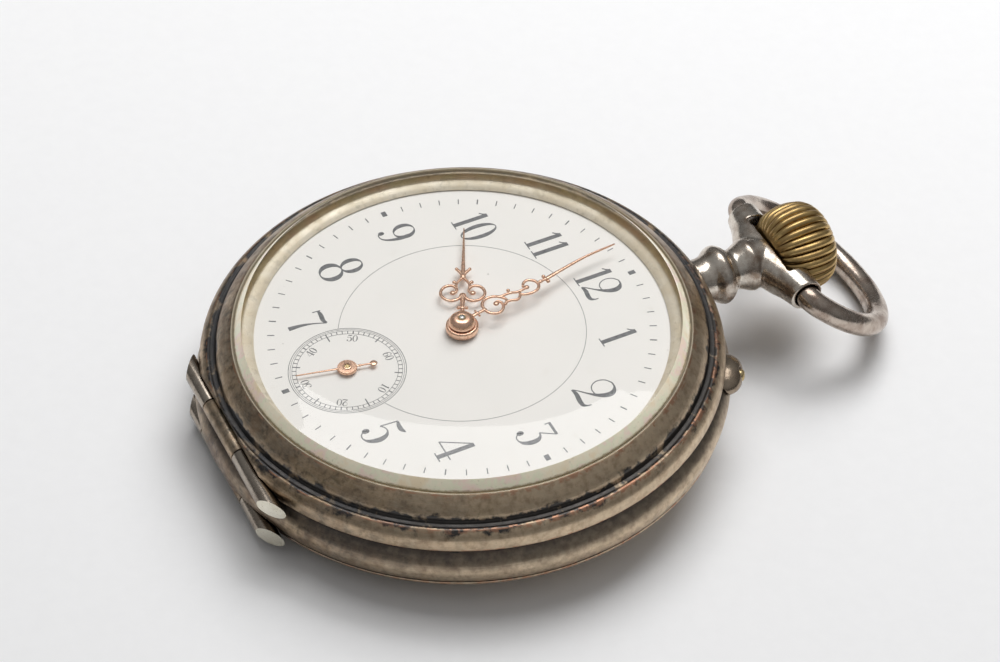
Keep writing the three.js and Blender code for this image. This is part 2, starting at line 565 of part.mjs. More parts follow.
const drum = turned([
  [1.2, 4.3], [7.3, 4.3], [7.3, 5.62], [6.9, 5.62], [6.9, 4.6], [1.2, 4.6]], BARREL, 24);
const barrelTeeth = extruded(outline(gearPoints(72, 0.22)), 4.62, 5.1, BARREL)
  .subtract(rod(7.1, 4, 6, BARREL, 24));
piece('mainspring_barrel', drum.add(barrelTeeth), LOOKS.gilt);
piece('barrel_cover', turned([
  [0.8, 5.68], [7.25, 5.68], [7.25, 5.85], [0.8, 5.85]], BARREL, 24), LOOKS.gilt);
piece('mainspring', spiral(2.0, 6.6, 5, 0.22, 4.66, 5.56, BARREL), LOOKS.bluedSteel);

const clickBlank = extruded(outline([
  [-1.6, -0.1], [-1.15, 0.75], [0.2, 0.85], [0.9, 0.2], [0.75, -0.6], [-0.2, -0.75], [-0.9, -0.5],
]), 2.3, 2.8, CLICK, 45);
piece('click', clickBlank.add(rod(0.28, 2.5, 3.8, CLICK, 10)), LOOKS.steel);
piece('click_spring', extruded(ringSector(16.75, 16.95, 40, 68, 8), 2.4, 2.8), LOOKS.bluedSteel);

// ---------------------------------------------------------------- going train
function trainWheel(name, place, shape, [low, high], stretches, look = LOOKS.gilt) {
  piece(name, extruded(shape, low, high, place).add(arbor(stretches, place)), look);
}
trainWheel('centre_wheel', CENTRE, spokedShape(gearPoints(64, 0.19), 1.4, 5.2, 4, 16), [6.0, 6.25], [
  [0.2, 3.3, 4.0], [0.6, 4.0, 4.4], [1.28, 4.4, 5.7], [0.6, 5.7, 6.3], [0.5, 6.3, 8.2], [0.36, 8.2, 12.1]]);
trainWheel('third_wheel', THIRD, spokedShape(gearPoints(60, 0.18), 1.0, 4.6, 4, 16), [4.75, 5.0], [
  [0.15, 3.3, 4.0], [0.35, 4.0, 5.75], [0.72, 5.75, 6.32], [0.2, 6.32, 7.2]]);
trainWheel('fourth_wheel', FOURTH, spokedShape(gearPoints(60, 0.16), 0.9, 4.0, 4, 16), [5.3, 5.55], [
  [0.15, 3.3, 4.0], [0.35, 4.0, 4.5], [0.68, 4.5, 5.2], [0.35, 5.2, 6.35], [0.25, 6.35, 10.72]]);

function escapePoints(teeth, tip, root) {
  const points = [];
  for (let i = 0; i < teeth; i += 1) {
    const step = 360 / teeth;
    for (const [radius, part] of [[root, 0], [root, 0.55], [tip, 0.92], [tip, 1.0]]) {
      const point = polar(radius, step * (i + part));
      points.push([point.x, point.y]);
    }
  }
  return points;
}
trainWheel('escape_wheel', ESCAPE, spokedShape(escapePoints(15, 3.3, 2.5), 0.8, 2.1, 4, 24), [5.75, 6.0], [
  [0.12, 3.3, 4.0], [0.22, 4.0, 5.15], [0.45, 5.15, 5.65], [0.22, 5.65, 6.35], [0.15, 6.35, 7.2],
], LOOKS.steel);

// ---------------------------------------------------------------- escapement and balance
// The fork is drawn with its arbor at the origin and the balance along +X.
const palletPlan = outline([
  [-0.55, 0], [-0.9, 2.2], [-0.4, 2.35], [0.35, 0.6], [3.4, 0.22], [3.75, 0.6], [4.2, 0.6], [4.05, 0.2],
  [3.75, 0.15], [3.75, -0.15], [4.05, -0.2], [4.2, -0.6], [3.75, -0.6], [3.4, -0.22], [0.35, -0.6],
  [-0.4, -2.35], [-0.9, -2.2],
]);
const palletStone = (y) => box(-0.86, -0.56, y - 0.18, y + 0.18, 5.5, 6.0);
const palletBody = union([
  extruded(palletPlan, 5.35, 5.6), palletStone(2.12), palletStone(-2.12),
  arbor([[0.12, 4.6, 5.25], [0.25, 5.25, 6.2], [0.12, 6.2, 7.0]], CENTRE),
]);
const palletTurn = THREE.MathUtils.radToDeg(Math.atan2(BALANCE.y - PALLET.y, BALANCE.x - PALLET.x));
piece('pallet_fork', palletBody.rotate([0, 0, palletTurn]).translate([PALLET.x, PALLET.y, 0]), LOOKS.steel);

const balanceShape = new THREE.Shape().absarc(0, 0, 6.6, 0, 2 * Math.PI);
for (const start of [9, 189]) balanceShape.holes.push(ringSector(0.8, 5.9, start, start + 162, 12));
const balanceBlank = new THREE.ExtrudeGeometry(balanceShape, {
  depth: 0.45, bevelEnabled: false, curveSegments: 18 });
piece('balance_wheel', drilledDown(
  solid(balanceBlank.rotateZ(radians(35)).translate(BALANCE.x, BALANCE.y, 4.1)), [[0.36, BALANCE]]),
LOOKS.gilt);
const impulsePin = rod(0.12, 4.7, 5.2, {
  x: BALANCE.x + 0.85 * Math.cos(radians(palletTurn + 180)),
  y: BALANCE.y + 0.85 * Math.sin(radians(palletTurn + 180)),
}, 8);
piece('balance_staff', arbor([
  [0.12, 3.2, 3.62], [0.32, 3.62, 4.65], [1.2, 4.65, 4.85], [0.3, 4.85, 6.3], [0.12, 6.3, 7.2],
], BALANCE).add(impulsePin), LOOKS.steel);
piece('hairspring', spiral(0.7, 3.4, 5, 0.09, 3.76, 3.98, BALANCE), LOOKS.bluedSteel);

// ---------------------------------------------------------------- motion work under the dial
function pipedWheel(name, teeth, module, [low, high], pipeRadius, pipeTop, bore, look) {
  const blank = extruded(outline(gearPoints(teeth, module)), low, high);
  const pipe = rod(pipeRadius, low, pipeTop);
  piece(name, blank.add(pipe).subtract(rod(bore, low - 1, pipeTop + 1)), look);
}
pipedWheel('cannon_pinion', 12, 0.2, [8.3, 8.85], 0.65, 12.0, 0.42, LOOKS.steel);
pipedWheel('hour_wheel', 40, 0.192, [8.95, 9.2], 1.05, 10.9, 0.75, LOOKS.gilt);
piece('minute_wheel', union([
  extruded(outline(gearPoints(36, 0.2)), 8.35, 8.6, MINUTE_WHEEL),
  extruded(outline(gearPoints(10, 0.192)), 8.6, 9.2, MINUTE_WHEEL),
  rod(0.4, 7.4, 8.4, MINUTE_WHEEL, 12),
]), LOOKS.gilt);
piece('setting_wheel', extruded(outline(gearPoints(20, 0.2)), 8.35, 8.6, SETTING_WHEEL)
  .add(rod(0.4, 7.4, 8.4, SETTING_WHEEL, 12)), LOOKS.steel);

export default watch;
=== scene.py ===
import math

import bmesh
import bpy
from mathutils import Matrix, Vector


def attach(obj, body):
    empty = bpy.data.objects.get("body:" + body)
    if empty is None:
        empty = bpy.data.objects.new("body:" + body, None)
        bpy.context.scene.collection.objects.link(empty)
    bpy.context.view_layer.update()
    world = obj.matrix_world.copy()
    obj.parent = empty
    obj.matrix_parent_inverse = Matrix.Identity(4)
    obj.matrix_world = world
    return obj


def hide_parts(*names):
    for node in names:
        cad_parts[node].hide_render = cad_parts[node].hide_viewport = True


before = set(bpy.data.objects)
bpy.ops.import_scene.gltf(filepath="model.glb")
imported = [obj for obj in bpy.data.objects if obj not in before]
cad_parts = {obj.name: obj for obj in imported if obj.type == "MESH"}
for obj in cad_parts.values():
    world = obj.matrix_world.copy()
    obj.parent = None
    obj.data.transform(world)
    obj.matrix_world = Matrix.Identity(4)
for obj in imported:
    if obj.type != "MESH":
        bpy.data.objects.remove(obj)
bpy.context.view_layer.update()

MM = 0.001
DIAL_TOP = 10.2
SECONDS_CENTRE = (0.0, -12.15)
STEM_Z = 5.7
BOW_PIVOT_Y = 35.1
BOW_FOLD = math.radians(-37)
BEZEL_HINGE = (-24.7, 7.3)
REAR_HINGE = (-24.9, 3.0)
HINGE_HALF_LENGTH = 12.6
HINGE_TRIM_RADIUS = 26.8
HINGE_BORE_HALF_LENGTH = 8.0
HINGE_PIN_HALF_LENGTH = 7.9
HINGE_FLAT_HALF_LENGTH = 11.0
BUTTON_Z = 5.9
BUTTON_ANGLE = math.radians(60)
HOUR_ANGLE = math.radians(154)
MINUTE_ANGLE = math.radians(99.9)
SECONDS_ANGLE = math.radians(-103)
RING_SIDES = 256
SMALL_SIDES = 64
BALL_STEPS = 8
BALL_SIDES = 16


# ---- curves and solids
def smoothed(points, steps=6):
    """A Catmull-Rom curve through the points, each of which may have any number of values."""
    count = len(points)
    curve = []
    for i in range(count - 1):
        before = points[max(i - 1, 0)]
        start, end = points[i], points[i + 1]
        after = points[min(i + 2, count - 1)]
        for step in range(steps):
            t = step / steps
            curve.append(tuple(
                0.5 * (2 * b + (c - a) * t + (2 * a - 5 * b + 4 * c - d) * t * t
                       + (3 * b - a - 3 * c + d) * t ** 3)
                for a, b, c, d in zip(before, start, end, after)))
    curve.append(tuple(points[-1]))
    return curve


def polar(radius, angle):
    return radius * math.cos(angle), radius * math.sin(angle)


class Solid:
    """Closed bodies collected into one mesh, in millimetres."""

    def __init__(self):
        self.points = []
        self.faces = []

    def add(self, points, faces, matrix=None):
        start = len(self.points)
        self.points += [matrix @ Vector(p) if matrix else Vector(p) for p in points]
        self.faces += [[start + i for i in face] for face in faces]
        return self

    def mesh(self):
        mesh = bpy.data.meshes.new("solid")
        mesh.from_pydata(self.points, [], self.faces)
        shape = bmesh.new()
        shape.from_mesh(mesh)
        bmesh.ops.recalc_face_normals(shape, faces=shape.faces)
        shape.to_mesh(mesh)
        shape.free()
        return mesh


def lathe(profile, sides=RING_SIDES, ribs=None):
    """Points and faces of a (radius, height) profile turned about Z. It closes on itself off the axis.

    ribs(angle, radius, height) gives the factor on the radius there."""
    rings, points, faces = [], [], []
    for radius, height in profile:
        if radius < 1e-6:
            rings.append([len(points)] * sides)
            points.append((0, 0, height))
            continue
        rings.append(list(range(len(points), len(points) + sides)))
        for side in range(sides):
            angle = 2 * math.pi * side / sides
            factor = ribs(angle, radius, height) if ribs else 1
            points.append((*polar(radius * factor, angle), height))
    closed = profile[0][0] > 1e-6 and profile[-1][0] > 1e-6
    for i in range(len(rings) if closed else len(rings) - 1):
        low, high = rings[i], rings[(i + 1) % len(rings)]
        for side in range(sides):
            after = (side + 1) % sides
            corners = [low[side], low[after], high[after], high[side]]
            face = list(dict.fromkeys(corners))
            if len(face) > 2:
                faces.append(face)
    return points, faces


# Rings of a round end: how far out each lies and how large it is, in parts of the half width.
ROUND_END = [(0.35, 0.94), (0.7, 0.71), (0.93, 0.36)]


def tube(path, widths, heights, level, sides):
    """An oval section swept along a flat path of (x, y), with round ends."""
    points, faces = [], []
    count = len(path)
    stations = []
    for i in range(count):
        ahead, behind = path[min(i + 1, count - 1)], path[max(i - 1, 0)]
        along = Vector((ahead[0] - behind[0], ahead[1] - behind[1]))
        stations.append((Vector(path[i][:2]), along.normalized(), widths[i], heights[i]))
    first, last = stations[0], stations[-1]
    start_cap = [(first[0] - first[1] * first[2] * out, first[1], first[2] * k, first[3] * k)
                 for out, k in reversed(ROUND_END)]
    end_cap = [(last[0] + last[1] * last[2] * out, last[1], last[2] * k, last[3] * k) for out, k in ROUND_END]
    stations = start_cap + stations + end_cap
    for place, along, width, height in stations:
        across = Vector((-along.y, along.x))
        for side in range(sides):
            angle = 2 * math.pi * side / sides
            spot = place + across * width * math.cos(angle)
            points.append((spot.x, spot.y, level + height * math.sin(angle)))
    for i in range(len(stations) - 1):
        for side in range(sides):
            after = (side + 1) % sides
            near, far = i * sides, (i + 1) * sides
            faces.append([near + side, near + after, far + after, far + side])
    faces.append(list(range(sides)))
    faces.append([(len(stations) - 1) * sides + side for side in range(sides)])
    return points, faces


def ball(x, y, level, radius, height):
    """A ball of the given radius, flattened to the given half height."""
    profile = [(0, -height)]
    for i in range(1, BALL_STEPS):
        angle = -math.pi / 2 + math.pi * i / BALL_STEPS
        profile.append((radius * math.cos(angle), height * math.sin(angle)))
    profile.append((0, height))
    points, faces = lathe(profile, BALL_SIDES)
    return [(px + x, py + y, pz + level) for px, py, pz in points], faces


def slab(stroke, low, high):
    """A flat stroke of (x, y, width) points with upright sides."""
    points, faces = [], []
    count = len(stroke)
    for i, (x, y, width) in enumerate(stroke):
        ahead, behind = stroke[min(i + 1, count - 1)], stroke[max(i - 1, 0)]
        along = Vector((ahead[0] - behind[0], ahead[1] - behind[1])).normalized()
        side_x, side_y = -along.y * width / 2, along.x * width / 2
        points += [(x + side_x, y + side_y, high), (x - side_x, y - side_y, high),
                   (x - side_x, y - side_y, low), (x + side_x, y + side_y, low)]
    for i in range(count - 1):
        a, b = 4 * i, 4 * i + 4
        for k in range(4):
            n = (k + 1) % 4
            faces.append([a + k, a + n, b + n, b + k])
    faces += [[0, 1, 2, 3], [4 * count - 4 + k for k in (3, 2, 1, 0)]]
    return points, faces


# The faces of a six-sided body whose corners are listed by x, then y, then z.
BOX_FACES = [[0, 1, 3, 2], [4, 6, 7, 5], [0, 4, 5, 1], [2, 3, 7, 6], [0, 2, 6, 4], [1, 5, 7, 3]]


def block(x0, x1, y0, y1, z0, z1):
    corners = [(x, y, z) for x in (x0, x1) for y in (y0, y1) for z in (z0, z1)]
    return Solid().add(corners, BOX_FACES).mesh()


ALONG_X = Matrix.Rotation(math.radians(90), 4, "Y")
ALONG_STEM = Matrix.Translation((0, 0, STEM_Z)) @ Matrix.Rotation(math.radians(-90), 4, "X")
ALONG_BUTTON = (Matrix.Translation((0, 0, BUTTON_Z)) @ Matrix.Rotation(BUTTON_ANGLE - math.pi / 2, 4, "Z")
                @ Matrix.Rotation(math.radians(-90), 4, "X"))


def turned(profile, matrix=None, sides=RING_SIDES, ribs=None):
    return Solid().add(*lathe(profile, sides, ribs), matrix).mesh()


def rod(radius, start, end, matrix, sides=SMALL_SIDES):
    return turned([(0, start), (radius, start), (radius, end), (0, end)], matrix, sides)


def rod_x(radius, left, right, hinge, sides=SMALL_SIDES):
    return rod(radius, left, right, Matrix.Translation((0, *hinge)) @ ALONG_X, sides)


def new_object(name, data):
    made = bpy.data.objects.new(name, data)
    bpy.context.scene.collection.objects.link(made)
    return made


def with_modifiers(mesh, add_modifiers):
    """The mesh after the modifiers that add_modifiers puts on its object."""
    target = new_object("target", mesh)
    helpers = add_modifiers(target) or []
    evaluated = target.evaluated_get(bpy.context.evaluated_depsgraph_get())
    result = bpy.data.meshes.new_from_object(evaluated)
    for helper in [target, *helpers]:
        bpy.data.objects.remove(helper)
    return result


def joined(mesh, others, operation="UNION"):
    """The mesh with the others joined on, or cut away, by exact booleans."""
    def add_booleans(target):
        tools = []
        for other in others:
            tool = new_object("tool", other)
            tools.append(tool)
            boolean = target.modifiers.new("boolean", "BOOLEAN")
            boolean.operation = operation
            boolean.object = tool
            boolean.solver = "EXACT"
        return tools
    return with_modifiers(mesh, add_booleans)


def cut(mesh, cutters):
    return joined(mesh, cutters, "DIFFERENCE")


def softened(mesh, voxel, passes):
    """The mesh with its hard edges melted, as on a cast and polished part."""
    def add_softening(target):
        remesh = target.modifiers.new("remesh", "REMESH")
        remesh.mode = "VOXEL"
        remesh.voxel_size = voxel
        smooth = target.modifiers.new("smooth", "SMOOTH")
        smooth.factor = 0.5
        smooth.iterations = passes
    return with_modifiers(mesh, add_softening)


def add_piece(name, mesh, look, body, nodes=(), sharp_degrees=38.0, second_look=None, use_second=None):
    """A finished piece: metres, smooth shading, material, body and the CAD nodes it stands for."""
    mesh.transform(Matrix.Scale(MM, 4))
    mesh.materials.clear()
    mesh.materials.append(look)
    if second_look:
        mesh.materials.append(second_look)
    for face in mesh.polygons:
        face.use_smooth = True
        face.material_index = 1 if second_look and use_second(face.center / MM) else 0
    mesh.set_sharp_from_angle(angle=math.radians(sharp_degrees))
    mesh.name = name
    piece = new_object(name, mesh)
    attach(piece, body)
    if nodes:
        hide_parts(*nodes)


# ---- materials
class Look:
    """A material and short calls for building its nodes. Positions are the row frame in millimetres."""

    def __init__(self, name, roughness=0.4, metallic=0.0, **sockets):
        self.material = bpy.data.materials.new(name)
        self.material.use_nodes = True
        self.nodes = self.material.node_tree.nodes
        self.links = self.material.node_tree.links
        self.shader = self.nodes["Principled BSDF"]
        self.shader.inputs["Roughness"].default_value = roughness
        self.shader.inputs["Metallic"].default_value = metallic
        for socket, value in sockets.items():
            self.shader.inputs[socket.replace("_", " ")].default_value = value
        place = self.node("TexCoord").outputs["Object"]
        self.place = self.vector("SCALE", place, 1 / MM)

    def node(self, kind):
        return self.nodes.new("ShaderNode" + kind)

    def feed(self, socket, value):
        if isinstance(value, bpy.types.NodeSocket):
            self.links.new(value, socket)
        elif isinstance(value, tuple) and len(value) == 3 and socket.type == "RGBA":
            socket.default_value = (*value, 1.0)
        else:
            socket.default_value = value

    def vector(self, operation, first, second):
        node = self.node("VectorMath")
        node.operation = operation
        self.feed(node.inputs[0], first)
        self.feed(node.inputs["Scale" if operation == "SCALE" else 1], second)
        return node.outputs["Value" if operation in ("LENGTH", "DISTANCE", "DOT_PRODUCT") else "Vector"]

    def math(self, operation, first, second=0.0):
        node = self.node("Math")
        node.operation = operation
        self.feed(node.inputs[0], first)
        self.feed(node.inputs[1], second)
        return node.outputs[0]

    def ramp(self, value, low, high, to_low=0.0, to_high=1.0):
        """value from low..high to to_low..to_high, held at both ends."""
        node = self.node("MapRange")
        self.feed(node.inputs["Value"], value)
        for socket, number in zip(("From Min", "From Max", "To Min", "To Max"), (low, high, to_low, to_high)):
            self.feed(node.inputs[socket], number)
        return node.outputs["Result"]

    def mix(self, factor, first, second):
        node = self.node("Mix")
        node.data_type = "RGBA"
        self.feed(node.inputs[0], factor)
        self.feed(node.inputs[6], first)
        self.feed(node.inputs[7], second)
        return node.outputs[2]

    def noise(self, per_mm, detail=4.0, stretch=(1, 1, 1), place=None):
        place = place or self.place
        if stretch != (1, 1, 1):
            place = self.vector("MULTIPLY", place, stretch)
        node = self.node("TexNoise")
        self.feed(node.inputs["Vector"], place)
        node.inputs["Scale"].default_value = per_mm
        node.inputs["Detail"].default_value = detail
        node.inputs["Roughness"].default_value = 0.6
        return node.outputs["Fac"]

    def bands(self, value, stops):
        """Colour by value; stops are (position, colour)."""
        node = self.node("ValToRGB")
        elements = node.color_ramp.elements
        while len(elements) < len(stops):
            elements.new(0.5)
        for element, (position, colour) in zip(elements, stops):
            element.position = position
            element.color = (*colour, 1.0)
        self.feed(node.inputs[0], value)
        return node.outputs["Color"]

    def radius_and_height(self):
        """(distance from the watch's axis, height, 0), for marks that follow its rings."""
        node = self.node("SeparateXYZ")
        self.feed(node.inputs[0], self.place)
        flat = self.vector("MULTIPLY", self.place, (1, 1, 0))
        radius = self.vector("LENGTH", flat, (0, 0, 0))
        combine = self.node("CombineXYZ")
        self.feed(combine.inputs[0], radius)
        self.feed(combine.inputs[1], node.outputs["Z"])
        return combine.outputs[0]

    def near(self, place, spot, reach, ragged=None, raggedness=0.0):
        """1 at the spot, fading to 0 at reach, with an edge broken by a noise."""
        distance = self.vector("DISTANCE", place, spot)
        if ragged:
            distance = self.math("ADD", distance, self.ramp(ragged, 0.3, 0.7, -raggedness, raggedness))
        return self.ramp(distance, 0.55 * reach, reach, 1.0, 0.0)

    def bump(self, *layers):
        """Each layer is (height value, depth in mm)."""
        normal = None
        for height, depth in layers:
            node = self.node("Bump")
            node.inputs["Strength"].default_value = 1.0
            node.inputs["Distance"].default_value = depth * MM
            self.feed(node.inputs["Height"], height)
            if normal:
                self.feed(node.inputs["Normal"], normal)
            normal = node.outputs["Normal"]
        self.links.new(normal, self.shader.inputs["Normal"])

    def mix_shaders(self, factor, first, second):
        """Ends the material: the first shader where factor is 0, the second where it is 1."""
        node = self.node("MixShader")
        self.feed(node.inputs[0], factor)
        self.links.new(first.outputs[0], node.inputs[1])
        self.links.new(second.outputs[0], node.inputs[2])
        self.links.new(node.outputs[0], self.nodes["Material Output"].inputs["Surface"])
        return self.material

    def done(self, colour, roughness=None):
        self.feed(self.shader.inputs["Base Color"], colour)
        if roughness:
            self.feed(self.shader.inputs["Roughness"], roughness)
        return self.material


BROWN_TARNISH = (0.17, 0.125, 0.09)
BLUE_PAINTED_SHADE = (0.055, 0.056, 0.062)
MOTTLE = (0.105, 0.08, 0.06)
SIDE_SHEEN_SILVER = (0.80, 0.65, 0.46)
GROOVE_SHADE_BLACK = (0.042, 0.046, 0.052)
COPPER = (0.47, 0.255, 0.165)
# Straw, brown, green, copper and blue films, by the noise value at which each shows.
TARNISH_FILM = [(0.36, (0.30, 0.25, 0.13)), (0.45, (0.24, 0.19, 0.13)), (0.52, (0.13, 0.16, 0.15)),
                (0.6, (0.27, 0.185, 0.12)), (0.68, (0.12, 0.14, 0.18))]


def case_silver(name, clean, dull, dark_rings, copper_lines, darkness=0.5, shade=None):
    """Worn silver, with painted light. dark_rings and copper_lines lie at (radius, height, reach) round the
    case.

    dark_rings are painted shade, near black, in grooves and joints. The copper shows where a rim has worn
    through. shade is the (low, high, depth) of a band of painted shade. The side towards two o'clock is
    painted brighter, as if lit."""
    look = Look(name, metallic=1.0)
    rings = look.radius_and_height()
    broad = look.noise(0.13, 5)
    patch = look.noise(0.6, 6)
    grain = look.noise(5.0, 4)
    rub = look.noise(1.0, 5, (0.9, 0.9, 5.0))
    streak = look.noise(1.0, 4, (9, 9, 1), rings)
    mottle = look.noise(1.5, 7)
    colour = look.mix(look.ramp(patch, 0.36, 0.64), clean, dull)
    colour = look.mix(look.ramp(mottle, 0.48, 0.66, 0.0, 0.75), colour, MOTTLE)
    colour = look.mix(look.math("MULTIPLY", look.ramp(broad, 0.42, 0.62), darkness), colour, BROWN_TARNISH)
    film = look.bands(broad, TARNISH_FILM)
    colour = look.mix(look.ramp(streak, 0.4, 0.75, 0.15, 0.55), colour, film)
    colour = look.mix(look.ramp(rub, 0.5, 0.72, 0.0, 0.5), colour, (0.50, 0.42, 0.32))
    colour = look.mix(look.ramp(grain, 0.6, 0.74, 0.0, 0.6), colour, (0.06, 0.05, 0.04))
    # Painted light: the side towards two o'clock is painted brighter silver, as if lit; the copper wear spots
    # below keep to that side too.
    toward_two = look.vector("DOT_PRODUCT", look.place, (0.036, 0.014, 0))
    lit_and_worn_side = look.ramp(toward_two, 0.2, 0.95)
    colour = look.mix(look.math("MULTIPLY", lit_and_worn_side, 0.7), colour, look.mix(
        look.ramp(mottle, 0.4, 0.65), SIDE_SHEEN_SILVER, clean))
    # Painted shade: the case is darkened blue-black by height, over the band between low and high.
    if shade:
        low, high, depth = shade
        height = look.vector("DOT_PRODUCT", rings, (0, 1, 0))
        level = look.math("ADD", height, look.ramp(patch, 0.3, 0.7, -0.25, 0.25))
        colour = look.mix(look.math("MULTIPLY", look.ramp(level, low, high), depth), colour, BLUE_PAINTED_SHADE)
    # Painted shade: near-black rings in the grooves and the joints between parts, at dark_rings.
    painted_groove_shade = None
    for radius, height, reach in dark_rings:
        ring = look.near(rings, (radius, height, 0), reach, patch, 0.8 * reach)
        painted_groove_shade = look.math("MAXIMUM", painted_groove_shade, ring) if painted_groove_shade else ring
    if painted_groove_shade:
        colour = look.mix(look.math("MULTIPLY", painted_groove_shade, 0.93), colour, GROOVE_SHADE_BLACK)
    for radius, height, reach in copper_lines:
        thin = look.near(rings, (radius, height, 0), reach)
        thin = look.math("MULTIPLY", thin, look.ramp(look.noise(0.9, 6), 0.46, 0.6, 0.0, 0.85))
        wide = look.near(rings, (radius, height, 0), 4.0 * reach, grain, 0.5 * reach)
        spots = look.math("MULTIPLY", look.ramp(look.noise(1.1, 6), 0.5, 0.58), lit_and_worn_side)
        worn = look.math("MAXIMUM", thin, look.math("MULTIPLY", wide, spots))
        colour = look.mix(worn, colour, COPPER)
    roughness = look.ramp(patch, 0.3, 0.7, 0.30, 0.48)
    look.bump((look.noise(1.6, 6), 0.03), (grain, 0.008), (streak, 0.01))
    return look.done(colour, roughness)


def polished_silver(name, clean, dull, shade_reach, tarnish):
    """Brighter silver with pink-brown tarnish in patches, and painted shade, near black, in its hollows."""
    look = Look(name, metallic=1.0)
    patch = look.noise(0.55, 5)
    grain = look.noise(5.0, 4)
    # Painted shade: ambient occlusion darkens the hollows near black.
    dirt_and_shade = look.node("AmbientOcclusion")
    dirt_and_shade.samples = 6
    dirt_and_shade.inputs["Distance"].default_value = shade_reach * MM
    painted_hollow_shade = look.ramp(dirt_and_shade.outputs["AO"], 0.35, 0.85, 1.0, 0.0)
    colour = look.mix(look.math("MULTIPLY", look.ramp(patch, 0.4, 0.66), tarnish), clean, dull)
    colour = look.mix(look.ramp(grain, 0.6, 0.74, 0.0, 0.5), colour, BROWN_TARNISH)
    colour = look.mix(look.math("MULTIPLY", painted_hollow_shade, 0.85), colour, (0.05, 0.035, 0.028))
    polish = look.ramp(patch, 0.3, 0.7, 0.14, 0.30)
    roughness = look.math("ADD", polish, look.ramp(grain, 0.5, 0.8, 0.0, 0.15))
    look.bump((look.noise(1.2, 4), 0.02), (grain, 0.004))
    return look.done(colour, roughness)


def tinted_metal(name, light, deep, roughness=(0.2, 0.36), per_mm=1.4, speck=(0.06, 0.04, 0.03), crest_highlight=None):
    """Brass, gilding, gold or steel with soft stains and small dark specks; given a crest colour, painted
    highlights on the crests and painted shade in the flutes, in the speck colour.
    """
    look = Look(name, metallic=1.0)
    stain = look.noise(per_mm, 5)
    grain = look.noise(per_mm * 9, 3)
    colour = look.mix(look.ramp(stain, 0.35, 0.65), light, deep)
    if crest_highlight:
        # Painted light: by Pointiness, the crests are painted brighter as a highlight and the flutes darker
        # as shade, in the speck colour.
        edge = look.node("NewGeometry").outputs["Pointiness"]
        colour = look.mix(look.ramp(edge, 0.5, 0.56), colour, crest_highlight)
        colour = look.mix(look.ramp(edge, 0.5, 0.42, 0.0, 0.9), colour, speck)
    colour = look.mix(look.ramp(grain, 0.62, 0.76, 0.0, 0.6), colour, speck)
    look.bump((stain, 0.006), (grain, 0.003))
    return look.done(colour, look.ramp(stain, 0.3, 0.7, *roughness))


def enamel():
    look = Look("white_enamel", roughness=0.09, Coat_Weight=0.25, Coat_Roughness=0.03)
    cloud = look.noise(0.12, 4)
    stain = look.noise(0.5, 6)
    speck = look.node("TexVoronoi")
    speck.inputs["Scale"].default_value = 0.42
    look.feed(speck.inputs["Vector"], look.place)
    colour = look.mix(look.ramp(cloud, 0.35, 0.65), (0.955, 0.935, 0.90), (0.93, 0.915, 0.88))
    colour = look.mix(look.ramp(stain, 0.62, 0.78, 0.0, 0.16), colour, (0.62, 0.55, 0.44))
    dots = look.ramp(speck.outputs["Distance"], 0.012, 0.045, 0.75, 0.0)
    dots = look.math("MULTIPLY", dots, look.ramp(look.noise(0.8, 2), 0.5, 0.56))
    colour = look.mix(dots, colour, (0.12, 0.09, 0.06))
    look.bump((look.noise(0.35, 2), 0.008))
    return look.done(colour, look.ramp(stain, 0.3, 0.7, 0.07, 0.12))


def printed_ink():
    look = Look("fired_ink", roughness=0.3)
    wear = look.noise(3.0, 4)
    colour = look.mix(look.ramp(wear, 0.35, 0.7), (0.14, 0.145, 0.15), (0.22, 0.225, 0.23))
    look.bump((look.noise(8, 2), 0.002))
    return look.done(colour, look.ramp(wear, 0.3, 0.7, 0.25, 0.4))


def clear_glass():
    """Clear where it is looked through, with the studio mirrored in it, and faint scratches."""
    look = Look("watch_glass")
    scratch = look.noise(1.5, 3, (1, 12, 1))
    clear = look.node("BsdfTransparent")
    clear.inputs["Color"].default_value = (0.995, 0.993, 0.99, 1)
    mirror = look.node("BsdfGlossy")
    look.feed(mirror.inputs["Roughness"], look.ramp(scratch, 0.3, 0.7, 0.015, 0.05))
    fresnel = look.node("Fresnel")
    fresnel.inputs["IOR"].default_value = 1.45
    geometry = look.node("NewGeometry")
    facing_out = look.math("SUBTRACT", 1.0, geometry.outputs["Backfacing"])
    look.nodes.remove(look.shader)
    return look.mix_shaders(look.math("MULTIPLY", fresnel.outputs[0], facing_out), clear, mirror)


# Painted refraction of the rehaut: cream, with pale green and pink painted iridescence, by the noise value at
# which each shows.
BEVEL_PAINTED_REFRACTION = [(0.34, (0.95, 0.80, 0.56)), (0.44, (0.98, 0.90, 0.70)), (0.5, (0.91, 0.89, 0.67)),
               (0.57, (0.98, 0.78, 0.67)), (0.66, (0.95, 0.80, 0.54))]


